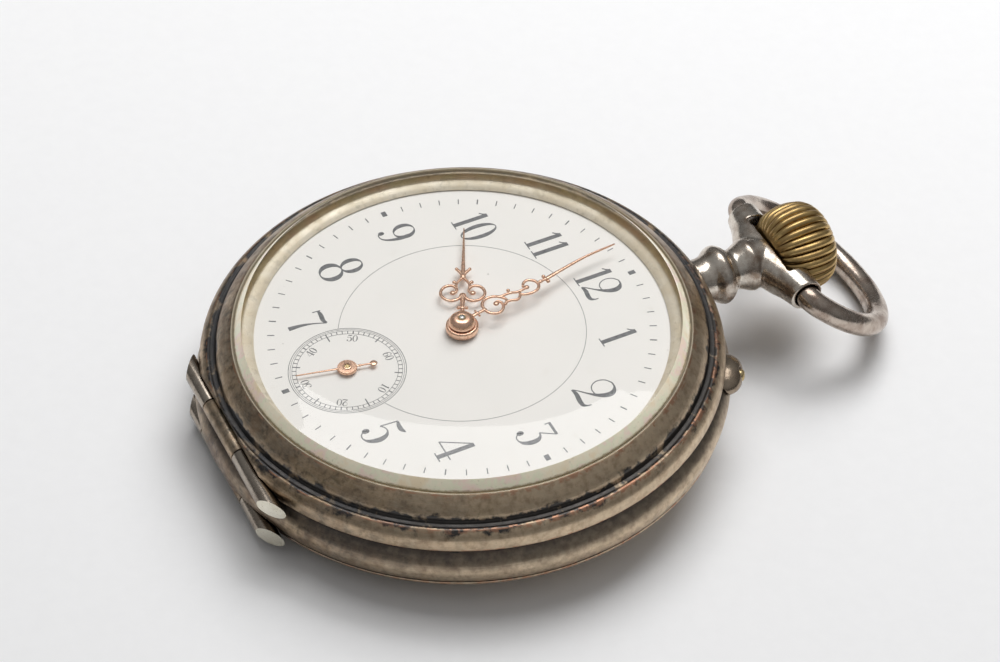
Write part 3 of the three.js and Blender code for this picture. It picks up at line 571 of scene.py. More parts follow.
def glass_edge():
    """The bevel of the glass: from outside its colour is painted refraction of the rehaut's cream, from
    inside it is clear.
    """
    look = Look("glass_bevel", roughness=0.16, IOR=1.5, Coat_Weight=0.6, Coat_Roughness=0.05)
    place = look.noise(0.25, 4)
    # Painted refraction: the bevel's cream, green and pink tints.
    refraction_tint = look.bands(place, BEVEL_PAINTED_REFRACTION)
    dirt_and_shade = look.noise(3.0, 5)
    rings = look.radius_and_height()
    # Painted shade: a dark ring where the glass edge meets the bezel lip.
    lip_shade = look.near(rings, (22.04, 11.26, 0), 0.3, dirt_and_shade, 0.08)
    colour = look.mix(look.ramp(dirt_and_shade, 0.6, 0.78, 0.0, 0.5), refraction_tint, (0.34, 0.26, 0.14))
    colour = look.mix(look.math("MULTIPLY", lip_shade, 0.7), colour, (0.30, 0.22, 0.10))
    look.bump((dirt_and_shade, 0.004))
    look.done(colour, look.ramp(dirt_and_shade, 0.3, 0.7, 0.1, 0.25))
    inside = look.node("NewGeometry").outputs["Backfacing"]
    clear = look.node("BsdfTransparent")
    return look.mix_shaders(inside, look.shader, clear)


def rehaut_gold():
    look = Look("rehaut_gold", metallic=0.45)
    patch = look.noise(0.5, 6)
    grain = look.noise(5.0, 4)
    rings = look.radius_and_height()
    colour = look.mix(look.ramp(patch, 0.36, 0.62), (0.98, 0.90, 0.74), (0.86, 0.76, 0.58))
    colour = look.mix(look.ramp(look.noise(0.9, 5), 0.55, 0.7, 0.0, 0.5), colour, (0.52, 0.46, 0.34))
    colour = look.mix(look.ramp(grain, 0.6, 0.76, 0.0, 0.5), colour, (0.30, 0.23, 0.13))
    # Painted shade: a dark ring at the bezel lip, above the rehaut.
    lip_shade = look.near(rings, (22.3, 11.4, 0), 0.5, patch, 0.2)
    colour = look.mix(look.math("MULTIPLY", lip_shade, 0.75), colour, (0.25, 0.21, 0.15))
    look.bump((patch, 0.02), (grain, 0.006))
    return look.done(colour, look.ramp(patch, 0.3, 0.7, 0.32, 0.5))


BEZEL_LOOK = case_silver(
    "bezel_silver", (0.62, 0.46, 0.31), (0.30, 0.215, 0.145), [(24.25, 9.35, 0.8)],
    [(22.5, 11.36, 0.1), (24.85, 9.24, 0.1), (25.64, 7.36, 0.05)], 0.3)
BAND_LOOK = case_silver(
    "band_silver", (0.56, 0.425, 0.30), (0.29, 0.20, 0.135), [(24.95, 7.1, 0.5), (26.0, 3.42, 0.2)],
    [(26.05, 3.62, 0.04)], 0.3, (4.9, 6.6, 0.8))
REAR_LOOK = case_silver(
    "rear_silver", (0.50, 0.385, 0.28), (0.25, 0.18, 0.125), [], [(26.02, 3.25, 0.05)], 0.55)
CUVETTE_LOOK = case_silver(
    "cuvette_silver", (0.62, 0.58, 0.50), (0.42, 0.37, 0.30), [(24.3, 3.6, 0.3)], [], 0.25)
PENDANT_LOOK = polished_silver("pendant_silver", (0.74, 0.68, 0.60), (0.24, 0.16, 0.11), 1.3, 0.85)
BOW_LOOK = polished_silver("bow_silver", (0.58, 0.50, 0.43), (0.29, 0.21, 0.165), 1.0, 0.9)
HINGE_LOOK = polished_silver("hinge_silver", (0.42, 0.37, 0.31), (0.22, 0.175, 0.14), 0.9, 0.7)
GUARD_LOOK = polished_silver("guard_silver", (0.42, 0.34, 0.26), (0.22, 0.165, 0.12), 1.0, 0.7)
CUT_FACE_LOOK = polished_silver("filed_silver", (0.86, 0.82, 0.70), (0.66, 0.60, 0.46), 0.3, 0.6)
CROWN_LOOK = tinted_metal("crown_brass", (0.56, 0.385, 0.155), (0.34, 0.215, 0.09), (0.28, 0.42), 0.8,
                          (0.045, 0.03, 0.012), (0.80, 0.58, 0.26))
BUTTON_LOOK = tinted_metal("button_brass", (0.72, 0.58, 0.32), (0.50, 0.38, 0.19))
HANDS_LOOK = tinted_metal("rose_gold", (0.97, 0.66, 0.49), (0.82, 0.50, 0.35), (0.2, 0.34), 1.8,
                          (0.32, 0.17, 0.11))
HUB_STEEL_LOOK = tinted_metal("hub_steel", (0.62, 0.62, 0.60), (0.42, 0.42, 0.42))
STEEL_LOOK = tinted_metal("movement_steel", (0.60, 0.61, 0.62), (0.44, 0.46, 0.49), (0.16, 0.3), 2.0)
BLUED_LOOK = tinted_metal("blued_steel", (0.045, 0.075, 0.27), (0.03, 0.035, 0.13), (0.14, 0.26), 2.0)
ENAMEL_LOOK = enamel()
INK_LOOK = printed_ink()
GLASS_LOOK = clear_glass()
EDGE_LOOK = glass_edge()
REHAUT_LOOK = rehaut_gold()


def gilt_plates():
    """Frosted gilding with fine straight striping, as on a movement's plates."""
    look = Look("movement_gilt", metallic=1.0)
    stain = look.noise(0.6, 5)
    grain = look.noise(16.0, 2)
    stripe = look.noise(1.0, 2, (0.4, 7.0, 0.4))
    colour = look.mix(look.ramp(stain, 0.35, 0.65), (0.80, 0.62, 0.32), (0.62, 0.45, 0.21))
    colour = look.mix(look.ramp(stripe, 0.45, 0.6, 0.0, 0.25), colour, (0.90, 0.74, 0.45))
    colour = look.mix(look.ramp(grain, 0.62, 0.78, 0.0, 0.4), colour, (0.16, 0.10, 0.05))
    look.bump((grain, 0.004), (stripe, 0.003))
    return look.done(colour, look.ramp(stripe, 0.3, 0.7, 0.26, 0.4))


GILT_LOOK = gilt_plates()

# ---- case
CHANNEL_RADIUS = 1.06
CHANNEL_HALF_LENGTH = HINGE_HALF_LENGTH + 0.1
bezel_channel, rear_channel = [rod_x(CHANNEL_RADIUS, -CHANNEL_HALF_LENGTH, CHANNEL_HALF_LENGTH, hinge)
                               for hinge in (BEZEL_HINGE, REAR_HINGE)]


def flat_cut(y, low, high):
    return block(-HINGE_FLAT_HALF_LENGTH, HINGE_FLAT_HALF_LENGTH, -27, y, low, high)


bezel_outer = (
    smoothed([(22.12, 11.2), (22.2, 11.36), (22.35, 11.43), (22.75, 11.16), (23.35, 10.62), (23.7, 10.18),
              (23.87, 9.85), (23.93, 9.5)])
    + [(24.05, 9.24), (24.3, 9.17), (24.52, 9.2)]
    + smoothed([(24.62, 9.27), (24.8, 9.25), (25.05, 9.1), (25.3, 8.85), (25.52, 8.5), (25.63, 8.1),
                (25.67, 7.7), (25.66, 7.36), (25.6, 7.3)]))
bezel_inner = [(24.6, 7.3), (24.6, 8.72), (20.72, 8.72), (20.72, 10.3), (20.25, 10.3)]
rehaut_wall = smoothed([(20.2, 10.34), (20.6, 10.6), (21.2, 10.86), (21.7, 11.02), (22.0, 11.1)])
bezel = cut(turned(bezel_outer + bezel_inner + rehaut_wall),
            [bezel_channel, flat_cut(-24.5, 6.8, 10.1)])
add_piece("bezel_ring", bezel, BEZEL_LOOK, "bezel", ["bezel"], 40, REHAUT_LOOK,
          lambda spot: math.hypot(spot.x, spot.y) < 22.34 and spot.z > 9.9)

band_outer = smoothed([(25.0, 7.1), (24.93, 6.85), (25.15, 6.6), (25.7, 6.15), (26.1, 5.6), (26.3, 4.95),
                       (26.28, 4.35), (26.18, 3.85), (26.0, 3.45)])
band = cut(
    turned(band_outer + [(24.55, 3.45), (24.55, 4.1), (20.3, 4.1), (20.3, 6.3), (21.2, 6.3), (21.2, 8.6),
                         (24.4, 8.6), (24.4, 7.1)]),
    [rod(1.15, 18, 28, ALONG_STEM), rod(0.75, 19, 28, ALONG_BUTTON), bezel_channel, rear_channel])
add_piece("case_body", band, BAND_LOOK, "case", ["case_band"], 38, CUVETTE_LOOK,
          lambda spot: math.hypot(spot.x, spot.y) < 24.45 and spot.z > 6.2)

rear_outer = smoothed([(26.0, 3.35), (26.02, 3.2), (25.9, 2.95), (25.3, 2.52), (23.0, 1.6), (20.6, 1.0),
                       (18.0, 0.55), (13.5, 0.16), (9.0, 0)])
rear_inner = [(25.5, 3.35), (25.0, 2.95), (22.8, 2.15), (18.0, 1.12), (9.0, 0.6), (0, 0.6)]
rear = cut(turned([(0, 0), *reversed(rear_outer), *rear_inner]), [rear_channel, flat_cut(-24.5, 1.9, 4)])
add_piece("rear_cover_shell", rear, REAR_LOOK, "rear_cover", ["rear_cover"])
cuvette_low = smoothed([(10, 1.15), (14, 1.38), (18, 1.75), (22.5, 2.6), (24.2, 3.45)])
cuvette_high = smoothed([(24.0, 3.75), (22.3, 2.98), (18, 2.15), (14, 1.78), (10, 1.55)])
cuvette_rim = [(24.4, 3.5), (24.4, 3.9), (24.1, 3.9)]
cuvette = cut(turned([(0, 1.0), *cuvette_low, *cuvette_rim, *cuvette_high, (0, 1.4)]),
              [rear_channel, flat_cut(-24.1, 2, 4.5)])
add_piece("inner_cover", cuvette, CUVETTE_LOOK, "cuvette", ["cuvette"])


FILED_SLANT = 1.35
FILED_SHIFT = {-1: -0.75, 1: 0.4}


def filed_end(side, y, hinge_y):
    """The x of a hinge tube's filed end at this y. The end leans over towards the round of the case."""
    reach = math.sqrt(HINGE_TRIM_RADIUS ** 2 - hinge_y ** 2) + FILED_SHIFT[side]
    return side * (reach + (y - hinge_y) * FILED_SLANT)


def add_knuckle(name, left, right, hinge, body, look, node):
    """A hinge tube with eased rims, bored for the pin and filed off to the round of the case."""
    y, z = hinge
    profile = [(0, left), (0.85, left), (0.93, left + 0.04), (0.95, left + 0.12),
               (0.95, right - 0.12), (0.93, right - 0.04), (0.85, right), (0, right)]
    matrix = Matrix.Translation((0, y, z)) @ ALONG_X
    corners = [(filed_end(side, edge, y), edge, level)
               for side in (-1, 1) for edge in (y - 2, y + 2) for level in (z - 2, z + 2)]
    wedge = Solid().add(corners, BOX_FACES).mesh()
    tube_blank = joined(turned(profile, matrix, SMALL_SIDES), [wedge], "INTERSECT")
    bored = cut(tube_blank, [rod_x(0.45, -HINGE_BORE_HALF_LENGTH, HINGE_BORE_HALF_LENGTH, hinge, 32)])

    def is_filed(spot):
        return min(abs(spot.x - filed_end(side, spot.y, y)) for side in (-1, 1)) < 0.03

    add_piece(name, bored, look, body, [node], 38, CUT_FACE_LOOK, is_filed)


for side, left, right in (("left", -HINGE_HALF_LENGTH, -4.05), ("right", 3.35, HINGE_HALF_LENGTH)):
    add_knuckle("bezel_lug_" + side, left, right, BEZEL_HINGE, "case", HINGE_LOOK,
                "bezel_knuckle_" + side)
add_knuckle("bezel_lug_centre", -3.95, 3.25, BEZEL_HINGE, "bezel", BEZEL_LOOK,
            "bezel_knuckle_centre")
for side, left, right in (("left", -HINGE_HALF_LENGTH, -5.05), ("right", 5.05, HINGE_HALF_LENGTH)):
    add_knuckle("rear_lug_" + side, left, right, REAR_HINGE, "case", HINGE_LOOK,
                "rear_knuckle_" + side)
add_knuckle("cuvette_lug", -4.95, -1.55, REAR_HINGE, "cuvette", CUVETTE_LOOK,
            "cuvette_knuckle")
add_knuckle("rear_cover_lug", -1.45, 4.95, REAR_HINGE, "rear_cover", REAR_LOOK,
            "rear_cover_knuckle")
for cover, hinge in (("bezel", BEZEL_HINGE), ("rear", REAR_HINGE)):
    pin = rod_x(0.36, -HINGE_PIN_HALF_LENGTH, HINGE_PIN_HALF_LENGTH, hinge, 32)
    add_piece(cover + "_pin", pin, STEEL_LOOK, "case", [cover + "_hinge_pin"])

# ---- glass
crystal_bottom = smoothed([(0, 12.55), (6, 12.52), (12, 12.4), (18.5, 12.0), (20.9, 11.42)])
crystal_top = smoothed([(21.28, 12.3), (19.0, 12.66), (16, 12.95), (8, 13.25), (3, 13.34), (0, 13.35)])
crystal_edge = [(21.2, 11.24), (22.0, 11.24), (22.04, 11.28), (22.04, 11.4), (21.4, 12.2)]
add_piece("watch_crystal", turned(crystal_bottom + crystal_edge + crystal_top), GLASS_LOOK, "bezel",
          ["crystal"], 30, EDGE_LOOK, lambda spot: math.hypot(spot.x, spot.y) > 21.3 and spot.z < 12.3)

# ---- pendant, bow and crown
pendant_profile = smoothed([
    (2.3, 24.4), (2.3, 26.6), (2.45, 27.3), (2.9, 27.95), (3.08, 28.6), (2.75, 29.25), (2.2, 29.8),
    (2.12, 30.3), (2.42, 31.05), (2.75, 31.8), (2.6, 32.5), (2.3, 34.0)], 5)
neck = turned([(0, 24.4), *pendant_profile, (0, 34.0)], ALONG_STEM, SMALL_SIDES)
ARM_TIP = 6.6
ARM_END = ARM_TIP + 0.02
arm_path = smoothed([(-ARM_TIP, 35.1), (-4.4, 34.75), (-2.2, 34.05), (0, 33.7), (2.2, 34.05), (4.4, 34.75),
                     (ARM_TIP, 35.1)])
arm_widths = [2.3 - 0.6 * (abs(x) / ARM_TIP) ** 1.5 for x, _ in arm_path]
arms = Solid().add(*tube(arm_path, arm_widths, arm_widths, STEM_Z, 48)).mesh()
end_trims = [block(-12, -ARM_END, 30, 40, 0, 12), block(ARM_END, 12, 30, 40, 0, 12)]
FIT_GAP = 0.08
case_envelope = turned([
    (0, -0.1), *[(r + FIT_GAP, z - FIT_GAP) for r, z in reversed(rear_outer)],
    *[(r + FIT_GAP, z) for r, z in reversed(band_outer)],
    *[(r + FIT_GAP, z) for r, z in reversed(bezel_outer)], (0, 12)])
bow_socket = (BOW_PIVOT_Y, STEM_Z)
pendant = cut(joined(neck, [arms]), [
    *end_trims, case_envelope, rod(4.7, 34.15, 42, ALONG_STEM), rod(1.15, 23, 36, ALONG_STEM),
    rod_x(1.33, -8, -5.0, bow_socket), rod_x(1.33, 5.0, 8, bow_socket)])
add_piece("pendant_head", softened(pendant, 0.12, 3), PENDANT_LOOK, "case", ["pendant"], 60)

# The bow is drawn flat with its pivot at the origin, then folded back about the pivot.
bow_points = [(6.0, 0, 1.2), (6.8, 0, 1.21), (7.5, 0.22, 1.25)]
for i in range(17):
    turn = math.radians(-30 + 240 * i / 16)
    bow_points.append((9.5 * math.cos(turn), 5.1 + 8.25 * math.sin(turn), 1.25 - 0.06 * math.cos(turn * 2)))
bow_points += [(-x, y, w) for x, y, w in reversed(bow_points[:3])]
bow_curve = smoothed(bow_points, 8)
bow_width = [min(w, 1.22) for _, _, w in bow_curve]
bow_fold = Matrix.Translation((0, BOW_PIVOT_Y, STEM_Z)) @ Matrix.Rotation(BOW_FOLD, 4, "X")
bow = Solid().add(*tube([p[:2] for p in bow_curve], bow_width, bow_width, 0.0, 40), bow_fold).mesh()
add_piece("bow_ring", bow, BOW_LOOK, "bow", ["bow"], 60)

CROWN_RIBS = 30


def crown_rib(angle, radius, height):
    """Rounded ribs with narrow flutes, fading out on the crown's two ends."""
    depth = 0.085 * max(0.0, min(1.0, (radius - 2.3) / 1.6))
    wave = abs(math.sin(CROWN_RIBS * angle / 2))
    return 1 - depth * (1 - wave ** 0.65)


crown_profile = [(0, 34.3), *smoothed([
    (2.4, 34.3), (3.15, 34.5), (3.8, 35.0), (4.28, 35.7), (4.54, 36.6), (4.66, 37.6), (4.62, 38.5),
    (4.38, 39.4), (3.9, 40.1), (3.15, 40.62), (2.3, 40.86), (1.6, 40.95)], 5), (0, 40.95)]
crown = turned(crown_profile, ALONG_STEM, CROWN_RIBS * 14, crown_rib)
add_piece("winding_crown", crown, CROWN_LOOK, "crown", ["crown"], 60)

# ---- push-piece
guard_profile = smoothed([(0.98, 23.9), (0.98, 24.9), (0.96, 25.8), (0.88, 26.4), (0.73, 26.9), (0.5, 27.25),
                          (0.2, 27.42)], 5)
guard_stretch = ALONG_BUTTON @ Matrix.Diagonal((2.7, 1.35, 1, 1))
guard_blank = turned([(0, 23.9), *guard_profile, (0, 27.45)], guard_stretch, SMALL_SIDES)
guard = cut(guard_blank, [case_envelope, rod(0.85, 20, 29, ALONG_BUTTON)])
add_piece("push_guard_cheeks", softened(guard, 0.1, 2), GUARD_LOOK, "case",
          ["push_guard"], 60)
button_profile = [(0, 19.95), (0.55, 19.95), (0.62, 20.1),
                  *smoothed([(0.62, 27.2), (0.56, 27.4), (0.42, 27.53), (0.2, 27.59), (0, 27.6)])]
add_piece("push_pin", turned(button_profile, ALONG_BUTTON, SMALL_SIDES), BUTTON_LOOK, "push_button",
          ["push_button"])

# ---- dial and its print
SECONDS_PLACE = Matrix.Translation((*SECONDS_CENTRE, 0))
dial = turned([(1.3, 9.3), (20.6, 9.3), (20.6, 10.12), (20.52, 10.2), (1.36, 10.2), (1.3, 10.14)])
seconds_hole = turned([(0, 9), (0.5, 9), (0.5, 11), (0, 11)], SECONDS_PLACE, 48)
add_piece("enamel_dial", cut(dial, [seconds_hole]), ENAMEL_LOOK, "case", ["dial"])

HAIR = 0.024
STEM = 0.125


def oval(x, y, half_x, half_y, thick=STEM, thin=HAIR, steps=40):
    """A closed didone bowl, thick at its sides and thin at top and bottom."""
    points = []
    for i in range(steps + 1):
        turn = 2 * math.pi * i / steps
        weight = thin + (thick - thin) * abs(math.cos(turn)) ** 1.6
        points.append((x + (half_x - thick / 3) * math.cos(turn), y + half_y * math.sin(turn), weight))
    return points


NINE = [oval(0, 0.70, 0.23, 0.28), smoothed([
    (0.175, 0.74, 0.12), (0.185, 0.5, 0.11), (0.13, 0.22, 0.07), (0.04, 0.06, 0.04), (-0.08, 0.02, 0.03),
    (-0.17, 0.09, 0.07)]), oval(-0.14, 0.12, 0.05, 0.045, 0.08, 0.08, 12)]
GLYPHS = {
    "0": [oval(0, 0.5, 0.24, 0.485)],
    "1": [[(0, 0.97, STEM), (0, 0.02, STEM)], [(-0.15, 0.014, 0.028), (0.15, 0.014, 0.028)],
        smoothed([(-0.15, 0.80, 0.03), (-0.09, 0.86, 0.035), (-0.03, 0.95, 0.05)])],
    "2": [smoothed([(0.06, 0.46, 0.03), (-0.06, 0.455, 0.026), (-0.16, 0.52, 0.026), (-0.215, 0.64, 0.026),
            (-0.215, 0.76, 0.026), (-0.17, 0.88, 0.026), (-0.06, 0.975, 0.03)]), smoothed([
        (-0.06, 0.975, 0.03), (0.06, 0.965, 0.05), (0.165, 0.87, 0.12),
        (0.19, 0.72, 0.14), (0.13, 0.53, 0.10), (0.0, 0.33, 0.045), (-0.15, 0.15, 0.03),
        (-0.215, 0.045, 0.03)]),
        smoothed([(-0.22, 0.045, 0.05), (-0.08, 0.075, 0.10), (0.1, 0.05, 0.11), (0.22, 0.06, 0.09),
            (0.27, 0.14, 0.04), (0.285, 0.24, 0.025)])],
    "3": [[(-0.2, 0.965, 0.07), (0.23, 0.965, 0.07)], [(-0.2, 0.99, 0.03), (-0.2, 0.84, 0.03)],
        [(0.225, 0.965, 0.03), (0.0, 0.60, 0.03)],
        smoothed([(0.0, 0.60, 0.03), (0.11, 0.57, 0.06), (0.195, 0.46, 0.12), (0.21, 0.29, 0.14),
            (0.15, 0.11, 0.10), (0.03, 0.015, 0.035), (-0.1, 0.015, 0.03), (-0.2, 0.12, 0.03)]),
        oval(-0.185, 0.16, 0.06, 0.05, 0.09, 0.09, 12)],
    "4": [[(0.11, 0.99, STEM), (0.11, 0.02, STEM)], [(0.08, 0.99, 0.03), (-0.29, 0.27, 0.03)],
        [(-0.3, 0.265, 0.032), (0.3, 0.265, 0.032)], [(-0.03, 0.014, 0.028), (0.25, 0.014, 0.028)]],
    "5": [smoothed([(-0.15, 0.96, 0.05), (-0.02, 0.93, 0.10), (0.12, 0.93, 0.11), (0.24, 0.99, 0.03)]),
        [(-0.155, 0.97, 0.03), (-0.185, 0.53, 0.03)],
        smoothed([(-0.185, 0.53, 0.03), (-0.09, 0.61, 0.03), (0.03, 0.625, 0.035), (0.15, 0.53, 0.10),
            (0.20, 0.34, 0.14), (0.15, 0.13, 0.10), (0.04, 0.02, 0.035), (-0.09, 0.015, 0.03),
            (-0.2, 0.11, 0.03)]),
        oval(-0.18, 0.16, 0.06, 0.05, 0.09, 0.09, 12)],
    "7": [smoothed([(-0.25, 0.93, 0.06), (-0.1, 0.94, 0.11), (0.1, 0.92, 0.11), (0.22, 0.97, 0.05)]),
        [(-0.25, 0.99, 0.03), (-0.265, 0.78, 0.03)],
        smoothed([(0.23, 0.97, 0.03), (0.11, 0.66, 0.04), (0.04, 0.36, 0.09), (0.02, 0.02, 0.14)])],
    "8": [oval(0, 0.745, 0.20, 0.235, 0.11), oval(0, 0.26, 0.25, 0.245)],
    "9": NINE,
    "6": [[(-x, 1 - y, w) for x, y, w in stroke] for stroke in NINE],
}
PRINT_LOW = DIAL_TOP - 0.01
PRINT_HIGH = DIAL_TOP + 0.012
LAYER_STEP = 0.0004


class Print:
    """Strokes of ink on the dial; each lies a little above the one before, so no two share a plane."""

    def __init__(self):
        self.solid = Solid()
        self.count = 0

    def stroke(self, points):
        self.count += 1
        self.solid.add(*slab(points, PRINT_LOW, PRINT_HIGH + LAYER_STEP * (self.count % 9)))

    def digit(self, text, place, height, turn, width):
        c, s = math.cos(turn) * height, math.sin(turn) * height
        for stroke in GLYPHS[text]:
            self.stroke([(place[0] + x * width * c - (y - 0.5) * s, place[1] + x * width * s + (y - 0.5) * c,
                          w * height) for x, y, w in stroke])

    def number(self, text, place, height, pitch, turn=0.0, width=1.0):
        for i, digit in enumerate(text):
            shift = pitch[i] * height
            spot = (place[0] + shift * math.cos(turn), place[1] + shift * math.sin(turn))
            self.digit(digit, spot, height, turn, width)

    def circle(self, centre, radius, width, start=0.0, end=360.0):
        steps = max(24, int((end - start) / 2))
        turns = [math.radians(start + (end - start) * i / steps) for i in range(steps + 1)]
        spots = [polar(radius, t) for t in turns]
        self.stroke([(centre[0] + x, centre[1] + y, width) for x, y in spots])

    def tick(self, centre, inner, outer, width, turn):
        (x0, y0), (x1, y1) = polar(inner, turn), polar(outer, turn)
        self.stroke([(centre[0] + x0, centre[1] + y0, width), (centre[0] + x1, centre[1] + y1, width)])


# Each hour: its text, its height, its centre, its width in normal widths, and the x of each digit in heights.
HOURS = (
    ("1", 3.9, (7.4, 13.3), 1.0, (0.0,)), ("2", 4.15, (12.9, 7.85), 1.22, (0.0,)),
    ("3", 3.8, (15.42, 0.35), 1.0, (0.0,)), ("4", 3.9, (13.6, -7.3), 1.08, (0.0,)),
    ("5", 4.05, (8.85, -12.45), 1.0, (0.0,)), ("7", 3.9, (-7.64, -13.2), 1.0, (0.0,)),
    ("8", 4.6, (-13.1, -7.1), 1.04, (0.0,)), ("9", 3.85, (-15.4, 0.0), 1.15, (0.0,)),
    ("10", 3.9, (-12.75, 7.5), 1.0, (-0.29, 0.18)), ("11", 3.95, (-7.27, 12.88), 1.0, (-0.19, 0.19)),
    ("12", 4.0, (0.0, 14.96), 1.05, (-0.29, 0.16)),
)
hour_print = Print()
for text, height, place, width, pitch in HOURS:
    hour_print.number(text, place, height, pitch, width=width)
for minute in range(60):
    turn = math.radians(90 - 6 * minute)
    width = 0.5 if minute % 15 == 0 else 0.13 if minute % 5 == 0 else 0.1
    hour_print.tick((0, 0), 18.2, 18.9, width, turn)
add_piece("hour_print", hour_print.solid.mesh(), INK_LOOK, "case")

fine_print = Print()
fine_print.circle((0, 0), 12.05, 0.045, -62.5, 242.5)
for radius, width in ((5.66, 0.06), (5.48, 0.04), (5.3, 0.04), (4.9, 0.04)):
    fine_print.circle(SECONDS_CENTRE, radius, width)
for second in range(60):
    turn = math.radians(90 - 6 * second)
    inner = 4.92
    if second % 10 == 5:
        inner = 4.25 if second in (15, 45) else 4.55
    fine_print.tick(SECONDS_CENTRE, inner, 5.33, 0.11 if second % 5 == 0 else 0.075, turn)
for tens in range(1, 7):
    turn = math.radians(90 - 60 * tens)
    x, y = polar(4.3, turn)
    fine_print.number(f"{tens}0", (SECONDS_CENTRE[0] + x, SECONDS_CENTRE[1] + y), 0.86, (-0.32, 0.32),
                      turn - math.pi / 2, 1.15)
add_piece("seconds_print", fine_print.solid.mesh(), INK_LOOK, "case")


# ---- hands
BAR_SIDES = 14


class Hand:
    """A carved hand drawn pointing along +X, all its work at one level."""

    def __init__(self, level, half_height):
        self.level = level
        self.half_height = half_height
        self.solid = Solid()

    def bar(self, points):
        """points are (along, across, half width)."""
        curve = smoothed(points, 7)
        widths = [1.15 * w for _, _, w in curve]
        heights = [min(self.half_height, 1.3 * w) for w in widths]
        self.solid.add(*tube([p[:2] for p in curve], widths, heights, self.level, BAR_SIDES))

    def knob(self, x, y, radius):
        self.solid.add(*ball(x, y, self.level, radius, min(radius, self.half_height * 1.25)))

    def hub(self, profile):
        self.solid.add(*lathe(profile, SMALL_SIDES))

    def placed(self, angle, place=(0, 0)):
        mesh = self.solid.mesh()
        mesh.transform(Matrix.Translation((*place, 0)) @ Matrix.Rotation(angle, 4, "Z"))
        return mesh


hour = Hand(10.9, 0.13)
hour.hub(smoothed([(1.12, 10.42), (1.52, 10.42), (1.6, 10.5)], 3)
         + smoothed([(1.6, 10.9), (1.56, 11.04), (1.42, 11.12), (1.12, 11.12)], 3))
hour.bar([(1.35, 0, 0.2), (2.2, 0, 0.17), (3.2, 0, 0.19), (3.8, 0, 0.26), (4.2, 0, 0.3)])
hour.bar([(2.45, -0.4, 0.1), (2.45, 0.4, 0.1)])
hour.knob(2.45, 0, 0.26)
hour.knob(6.85, 0, 0.3)
for side in (1, -1):
    hour.knob(2.45, 0.42 * side, 0.18)
    hour.bar([(x, y * side, w) for x, y, w in (
        (4.25, 0.1, 0.16), (3.8, 0.32, 0.15), (3.49, 0.75, 0.14), (3.44, 1.25, 0.14), (3.7, 1.78, 0.14),
        (4.25, 2.14, 0.14), (4.85, 2.12, 0.14), (5.36, 1.78, 0.14), (5.55, 1.27, 0.14), (5.4, 0.84, 0.14),
        (5.0, 0.6, 0.13), (4.62, 0.68, 0.12), (4.5, 0.95, 0.12))])
    hour.knob(4.53, 0.98 * side, 0.3)
    hour.bar([(5.15, 0.62 * side, 0.12), (5.7, 0.66 * side, 0.13), (6.15, 0.45 * side, 0.12),
              (6.65, 0.06 * side, 0.13)])
    hour.bar([(5.8, 0.62 * side, 0.11), (6.02, 0.84 * side, 0.12)])
    hour.knob(6.04, 0.87 * side, 0.2)
    hour.bar([(6.8, 0.04 * side, 0.13), (7.2, 0.16 * side, 0.15), (7.6, 0.42 * side, 0.15),
              (7.85, 0.64 * side, 0.13)])
    hour.knob(7.9, 0.66 * side, 0.17)
hour.bar([(6.9, 0, 0.19), (7.6, 0, 0.19), (9.0, 0, 0.15), (11.0, 0, 0.11), (13.8, 0, 0.05)])
add_piece("hour_hand_carved", hour.placed(HOUR_ANGLE), HANDS_LOOK, "hour_hand",
          ["hour_hand"], 50)

minute = Hand(11.49, 0.12)
minute.hub([(0.72, 11.2), *smoothed([(1.2, 11.2), (1.29, 11.26), (1.31, 11.36)], 3),
            *smoothed([(1.28, 11.5), (1.17, 11.74), (0.98, 11.92), (0.8, 12.02), (0.6, 12.06),
                       (0.42, 12.07)], 4),
            (0.38, 12.05), (0.38, 12.015), (0.72, 12.015)])
minute.bar([(1.2, 0, 0.2), (1.9, 0, 0.15), (2.75, 0, 0.15)])
minute.bar([(1.83, -0.38, 0.1), (1.83, 0.38, 0.1)])
minute.bar([(2.72, 0.0, 0.14), (2.8, 0.5, 0.14), (3.15, 0.97, 0.14), (3.72, 1.17, 0.14), (4.3, 1.06, 0.14),
            (4.8, 0.72, 0.14), (5.12, 0.28, 0.13), (5.22, -0.12, 0.13), (5.05, -0.42, 0.12),
            (4.75, -0.5, 0.12)])
minute.bar([(2.72, 0.0, 0.14), (2.8, -0.5, 0.14), (3.15, -0.97, 0.14), (3.68, -1.15, 0.14),
            (4.16, -0.98, 0.14), (4.5, -0.6, 0.14), (4.6, -0.15, 0.13), (4.42, 0.2, 0.12),
            (4.15, 0.18, 0.12)])
minute.bar([(4.6, 0.86, 0.12), (5.1, 0.58, 0.13), (5.7, 0.52, 0.13), (6.2, 0.38, 0.13), (6.6, 0.18, 0.13),
            (7.1, 0.1, 0.12), (7.7, 0.12, 0.12)])
minute.bar([(6.0, 0.48, 0.11), (6.08, 0.8, 0.12)])
minute.bar([(5.0, -0.35, 0.12), (5.5, -0.45, 0.12), (6.1, -0.72, 0.13), (6.55, -0.5, 0.13),
            (6.85, -0.1, 0.12)])
minute.bar([(6.7, -0.3, 0.12), (7.2, -0.6, 0.13), (7.9, -0.8, 0.13), (8.6, -0.68, 0.14), (9.02, -0.2, 0.14),
            (8.98, 0.42, 0.14), (8.5, 0.88, 0.14), (7.95, 0.82, 0.13), (7.6, 0.45, 0.12)])
minute.bar([(9.1, 0, 0.12), (9.7, 0, 0.13), (10.3, 0.01, 0.19), (12.0, 0.12, 0.16), (15.2, 0.24, 0.12),
            (18.5, 0, 0.06)])
